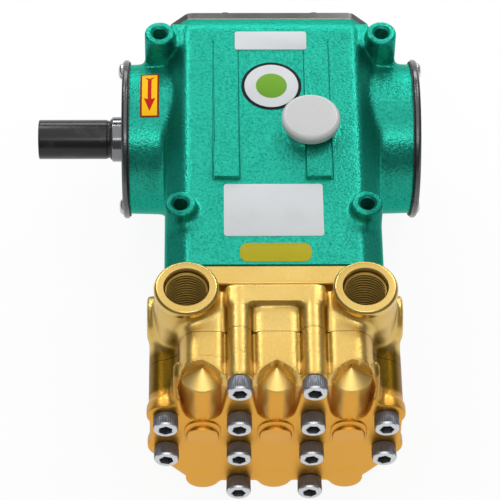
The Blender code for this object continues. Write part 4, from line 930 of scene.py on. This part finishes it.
def cap_screw(name, at, length, turn):
    """A cap screw along Y whose head bears on the valve head's front."""
    seat = HEAD_FACE - 0.3
    rings = []
    shape = bmesh.new()
    line = (
        (length, 3.0), (length - 1.0, 4.0), (0.0, 4.0), (0.0, 6.6), (-0.5, 7.0), (-6.9, 7.1), (-7.7, 6.92),
        (-8.3, 6.45), (-8.6, 5.8),
    )
    for along, radius in line:
        ring = []
        for step in range(2 * BOLT_FLUTES):
            angle = math.pi * step / BOLT_FLUTES
            notch = 0.28 if step % 2 and 6.9 < radius else 0.0
            spot = ((radius - notch) * math.cos(angle), (radius - notch) * math.sin(angle))
            ring.append(shape.verts.new((at[0] + spot[0], seat + along, at[1] + spot[1])))
        rings.append(ring)
    screw = piece_from(skinned(shape, rings), name)
    socket = spun("Z", ((-9.6, 4.5), (-8.3, 4.1), (-4.0, 4.1), (-3.0, 0.3)), sides=6)
    bmesh.ops.transform(socket, matrix=Matrix.Rotation(turn, 4, "Z"), verts=socket.verts)
    place = spread("Y", at) @ Matrix.Translation((0.0, 0.0, seat))
    bmesh.ops.transform(socket, matrix=place, verts=socket.verts)
    return machined(screw, socket)


bolt_zinc = knurled_zinc()
bolts = [(place, SHORT_BOLT) for place in BOLT_PLACES[:2] + SIDE_BOLT_PLACES + BOLT_PLACES[2:]]
bolts += [((x, z), LONG_BOLT) for z in (15.7, -15.7) for x in (-20.6, 20.6)]
for number, (place, length) in enumerate(bolts, start=1):
    screw = cap_screw("cap_screw_%02d" % number, place, length, 0.37 * number)
    fit(screw, bolt_zinc, "frame", "zinc_plate", "head_bolt_%02d" % number)

# Oil cap: a pale moulded push-in cap with a shallow dome, a rounded rim and a stem with a ring groove,
# standing in the filler boss on the crankcase's top.


def pale_plastic():
    finish, shade = new_finish("pale_plastic")
    skin = shade.grain(600.0, 3.0)
    scuffs = shade.grain(35.0, 5.0, (1.0, 0.35, 1.0)).between(0.52, 0.74)
    colour = (scuffs * 0.6 + skin * 0.2).tint((0.575, 0.575, 0.573), (0.48, 0.48, 0.48))
    return coated(
        finish, skin, 0.00012, Base_Color=colour, Roughness=0.30 + scuffs * 0.15, Subsurface_Weight=0.08,
        Subsurface_Radius=(0.004, 0.004, 0.004),
    )


cap_line = softened((
    (42.1, 7.6), (42.1, 8.7), (52.5, 8.7), (52.5, 8.0), (55.0, 8.0), (55.0, 8.7), (58.1, 8.7), (58.1, 14.6),
    (59.2, 17.0), (63.6, 17.3), (65.3, 15.6), (65.6, 9.0), (65.65, 0.4),
), 1.0)
cap = piece_from(spun("Z", cap_line, CAP_PLACE, 96), "oil_filler_cap")
fit(cap, pale_plastic(), "oil_cap", "white_plastic", "oil_cap")

# Labels: printed film stuck on the enamel. The plates and the round one are left blank, and the strip
# on the drive-side housing has a plain arrow for the way the shaft turns.
ROUND_LABEL_Y = -3.7
ARROW_PLACE = (-72.6, 1.3)


def printed_film(name, colour, roughness=0.42):
    finish, shade = new_finish(name)
    fibre = shade.grain(900.0, 2.0)
    soil = shade.grain(50.0, 4.0).between(0.5, 0.8)
    dull = tuple(tone * 0.93 for tone in colour)
    return coated(
        finish, fibre, 0.00003, Base_Color=soil.tint(colour, dull), Roughness=roughness + soil * 0.15,
        Specular_IOR_Level=0.08,
    )


def top_label(name, centre, size, corner, lift, finish):
    """A flat label on the crankcase's top."""
    x, y = centre
    half, reach = size[0] / 2, size[1] / 2
    corners = ((x + half, y + reach), (x + half, y - reach), (x - half, y - reach), (x - half, y + reach))
    rows = []
    for shrink, up in ((1.0, -0.35), (1.0, lift - 0.06), (0.996, lift)):
        row = [
            (x + (px - x) * shrink, y + (py - y) * shrink) for px, py in softened(corners, corner, True, 8)
        ]
        rows.append([(px, py, case_top(py) + up) for px, py in row])
    return fit(piece_from(lofted(bmesh.new(), rows), name), finish, "frame", "white_plastic")


white_film = printed_film("white_film", (0.64, 0.66, 0.67))
top_label("number_plate_blank", (0.0, 31.0), (43.0, 14.0), 1.6, 0.45, white_film)
top_label("information_label_blank", (-0.1, -94.5), (57.2, 36.8), 2.0, 0.22, white_film)
olive_film = printed_film("olive_film", (0.42, 0.36, 0.014))
top_label("serial_strip_blank", (0.7, -124.3), (41.0, 13.0), 5.8, 0.22, olive_film)
rings = (
    ("round_label_rim", 17.9, 0.20, printed_film("black_film", (0.012, 0.012, 0.013))),
    ("round_label_field", 16.0, 0.30, white_film),
    ("round_label_centre", 9.2, 0.40, printed_film("green_film", (0.16, 0.36, 0.03))),
)
for name, radius, lift, finish in rings:
    rows = []
    for shrink, up in ((1.0, -0.3), (1.0, lift - 0.05), (0.99, lift)):
        row = [(x, ROUND_LABEL_Y + y) for x, y in circle(radius * shrink, 96)]
        rows.append([(x, y, case_top(y) + up) for x, y in row])
    fit(piece_from(lofted(bmesh.new(), rows), name), finish, "frame", "white_plastic")


def housing_label(name, outline, lift, finish):
    """A label wrapped over the drive-side housing; the outline is X and the way round from the top."""
    (root, wide), (end, narrow) = HOUSING_LINE
    outline = [(ARROW_PLACE[0] + x, ARROW_PLACE[1] + y) for x, y in outline]
    film = pushed(bmesh.new(), outline, 0.0, 1.0)
    for step in range(-18, 19):
        drawn = film.verts[:] + film.edges[:] + film.faces[:]
        bmesh.ops.bisect_plane(film, geom=drawn, plane_co=(0.0, 0.0, step), plane_no=(0.0, 0.0, 1.0))
    for point in film.verts:
        out = wide - (abs(point.co.x) - root) * (wide - narrow) / (end - root)
        out += lift if point.co.y > 0.5 else -0.4
        angle = point.co.z / 45.5
        point.co = (point.co.x, -out * math.sin(angle), out * math.cos(angle))
    return fit(piece_from(film, name), finish, "frame", "white_plastic")


field = softened(((5.7, 16.5), (5.7, -16.5), (-5.7, -16.5), (-5.7, 16.5)), 0.8, True)
inner = [(x * 0.80, y * 0.93) for x, y in field]
arrow = (
    (1.1, -10.5), (1.1, 4.5), (3.4, 4.0), (0.0, 12.5), (-3.4, 4.0), (-1.1, 4.5), (-1.1, -10.5), (-3.0, -13.0),
    (0.0, -11.6), (3.0, -13.0),
)
housing_label("arrow_label_border", field, 0.20, printed_film("border_film", (0.23, 0.03, 0.012)))
housing_label("arrow_label_field", inner, 0.28, printed_film("yellow_film", (1.0, 0.56, 0.010)))
housing_label("arrow_label_arrow", arrow, 0.36, printed_film("red_film", (0.55, 0.016, 0.010)))

# Studio: a plain pale floor under soft lamps, seen from in front and well above, as the pump is
# photographed for a catalogue.


def pale_floor():
    finish, shade = new_finish("pale_floor")
    tree = finish.node_tree
    tree.nodes.remove(tree.nodes["Principled BSDF"])
    path = shade.node("LightPath", {}, {}, "Is Camera Ray")
    rays = path.socket.node.outputs
    seen = path + Shade(tree, rays["Is Glossy Ray"]) + Shade(tree, rays["Is Transmission Ray"])
    bounce = shade.node("BsdfDiffuse", {}, {"Color": (0.30, 0.30, 0.30, 1.0)})
    cloth = shade.node("BsdfDiffuse", {}, {"Color": (0.90, 0.90, 0.90, 1.0)})
    white = shade.node("Emission", {}, {"Color": (1.0, 1.0, 1.0, 1.0), "Strength": 1.0})
    pale = shade.node("MixShader", {}, {0: 0.92, 1: cloth, 2: white})
    floor = shade.node("MixShader", {}, {0: seen.between(0.0, 1.0), 1: bounce, 2: pale})
    tree.links.new(floor.socket, tree.nodes["Material Output"].inputs["Surface"])
    return finish


floor = bmesh.new()
bmesh.ops.create_grid(floor, x_segments=1, y_segments=1, size=6000.0)
floor = piece_from(floor, "floor")
floor.data.transform(Matrix.Translation((0.0, 0.0, -60.2)))
floor.data.transform(TO_FRAME)
floor.data.materials.append(pale_floor())

world = bpy.data.worlds.new("studio")
world.use_nodes = True
world.node_tree.nodes["Background"].inputs["Color"].default_value = (0.95, 0.97, 1.0, 1.0)
world.node_tree.nodes["Background"].inputs["Strength"].default_value = 0.20
bpy.context.scene.world = world


def lamp(name, place, aim, size, power):
    """A softbox at a place, turned to a point."""
    light = bpy.data.lights.new(name, "AREA")
    light.shape = "RECTANGLE"
    light.size, light.size_y = size
    light.energy = power
    made = bpy.data.objects.new(name, light)
    made.location = place
    made.rotation_euler = (Vector(aim) - Vector(place)).to_track_quat("-Z", "Y").to_euler()
    made.visible_camera = False
    bpy.context.scene.collection.objects.link(made)


lamp("overhead", (0.0, -0.10, 1.50), (0.0, -0.10, 0.0), (2.2, 2.6), 16.6)
lamp("back_left", (-0.55, 0.80, 0.95), (0.0, -0.05, 0.06), (0.30, 0.30), 3.2)
lamp("back_right", (0.55, 0.80, 0.95), (0.0, -0.05, 0.06), (0.30, 0.30), 3.2)
lamp("back", (0.0, 1.00, 0.48), (0.0, 0.04, 0.11), (1.00, 0.22), 4.3)
lamp("front", (0.03, -0.71, 1.03), (0.0, 0.0, 0.06), (0.70, 0.14), 1.5)

camera = bpy.data.objects.new("camera", bpy.data.cameras.new("camera"))
camera.data.lens = 189.26
camera.data.sensor_width = 36.0
camera.data.clip_start = 0.05
stand = Matrix.Translation((-0.03723, -1.01026, 1.31419)) @ Matrix.Rotation(-0.02613, 4, "Z")
tilt = Matrix.Rotation(math.pi / 2 - 0.93470, 4, "X") @ Matrix.Rotation(0.018265, 4, "Z")
camera.matrix_world = stand @ tilt
bpy.context.scene.collection.objects.link(camera)
bpy.context.scene.camera = camera
bpy.context.scene.view_settings.view_transform = "Standard"
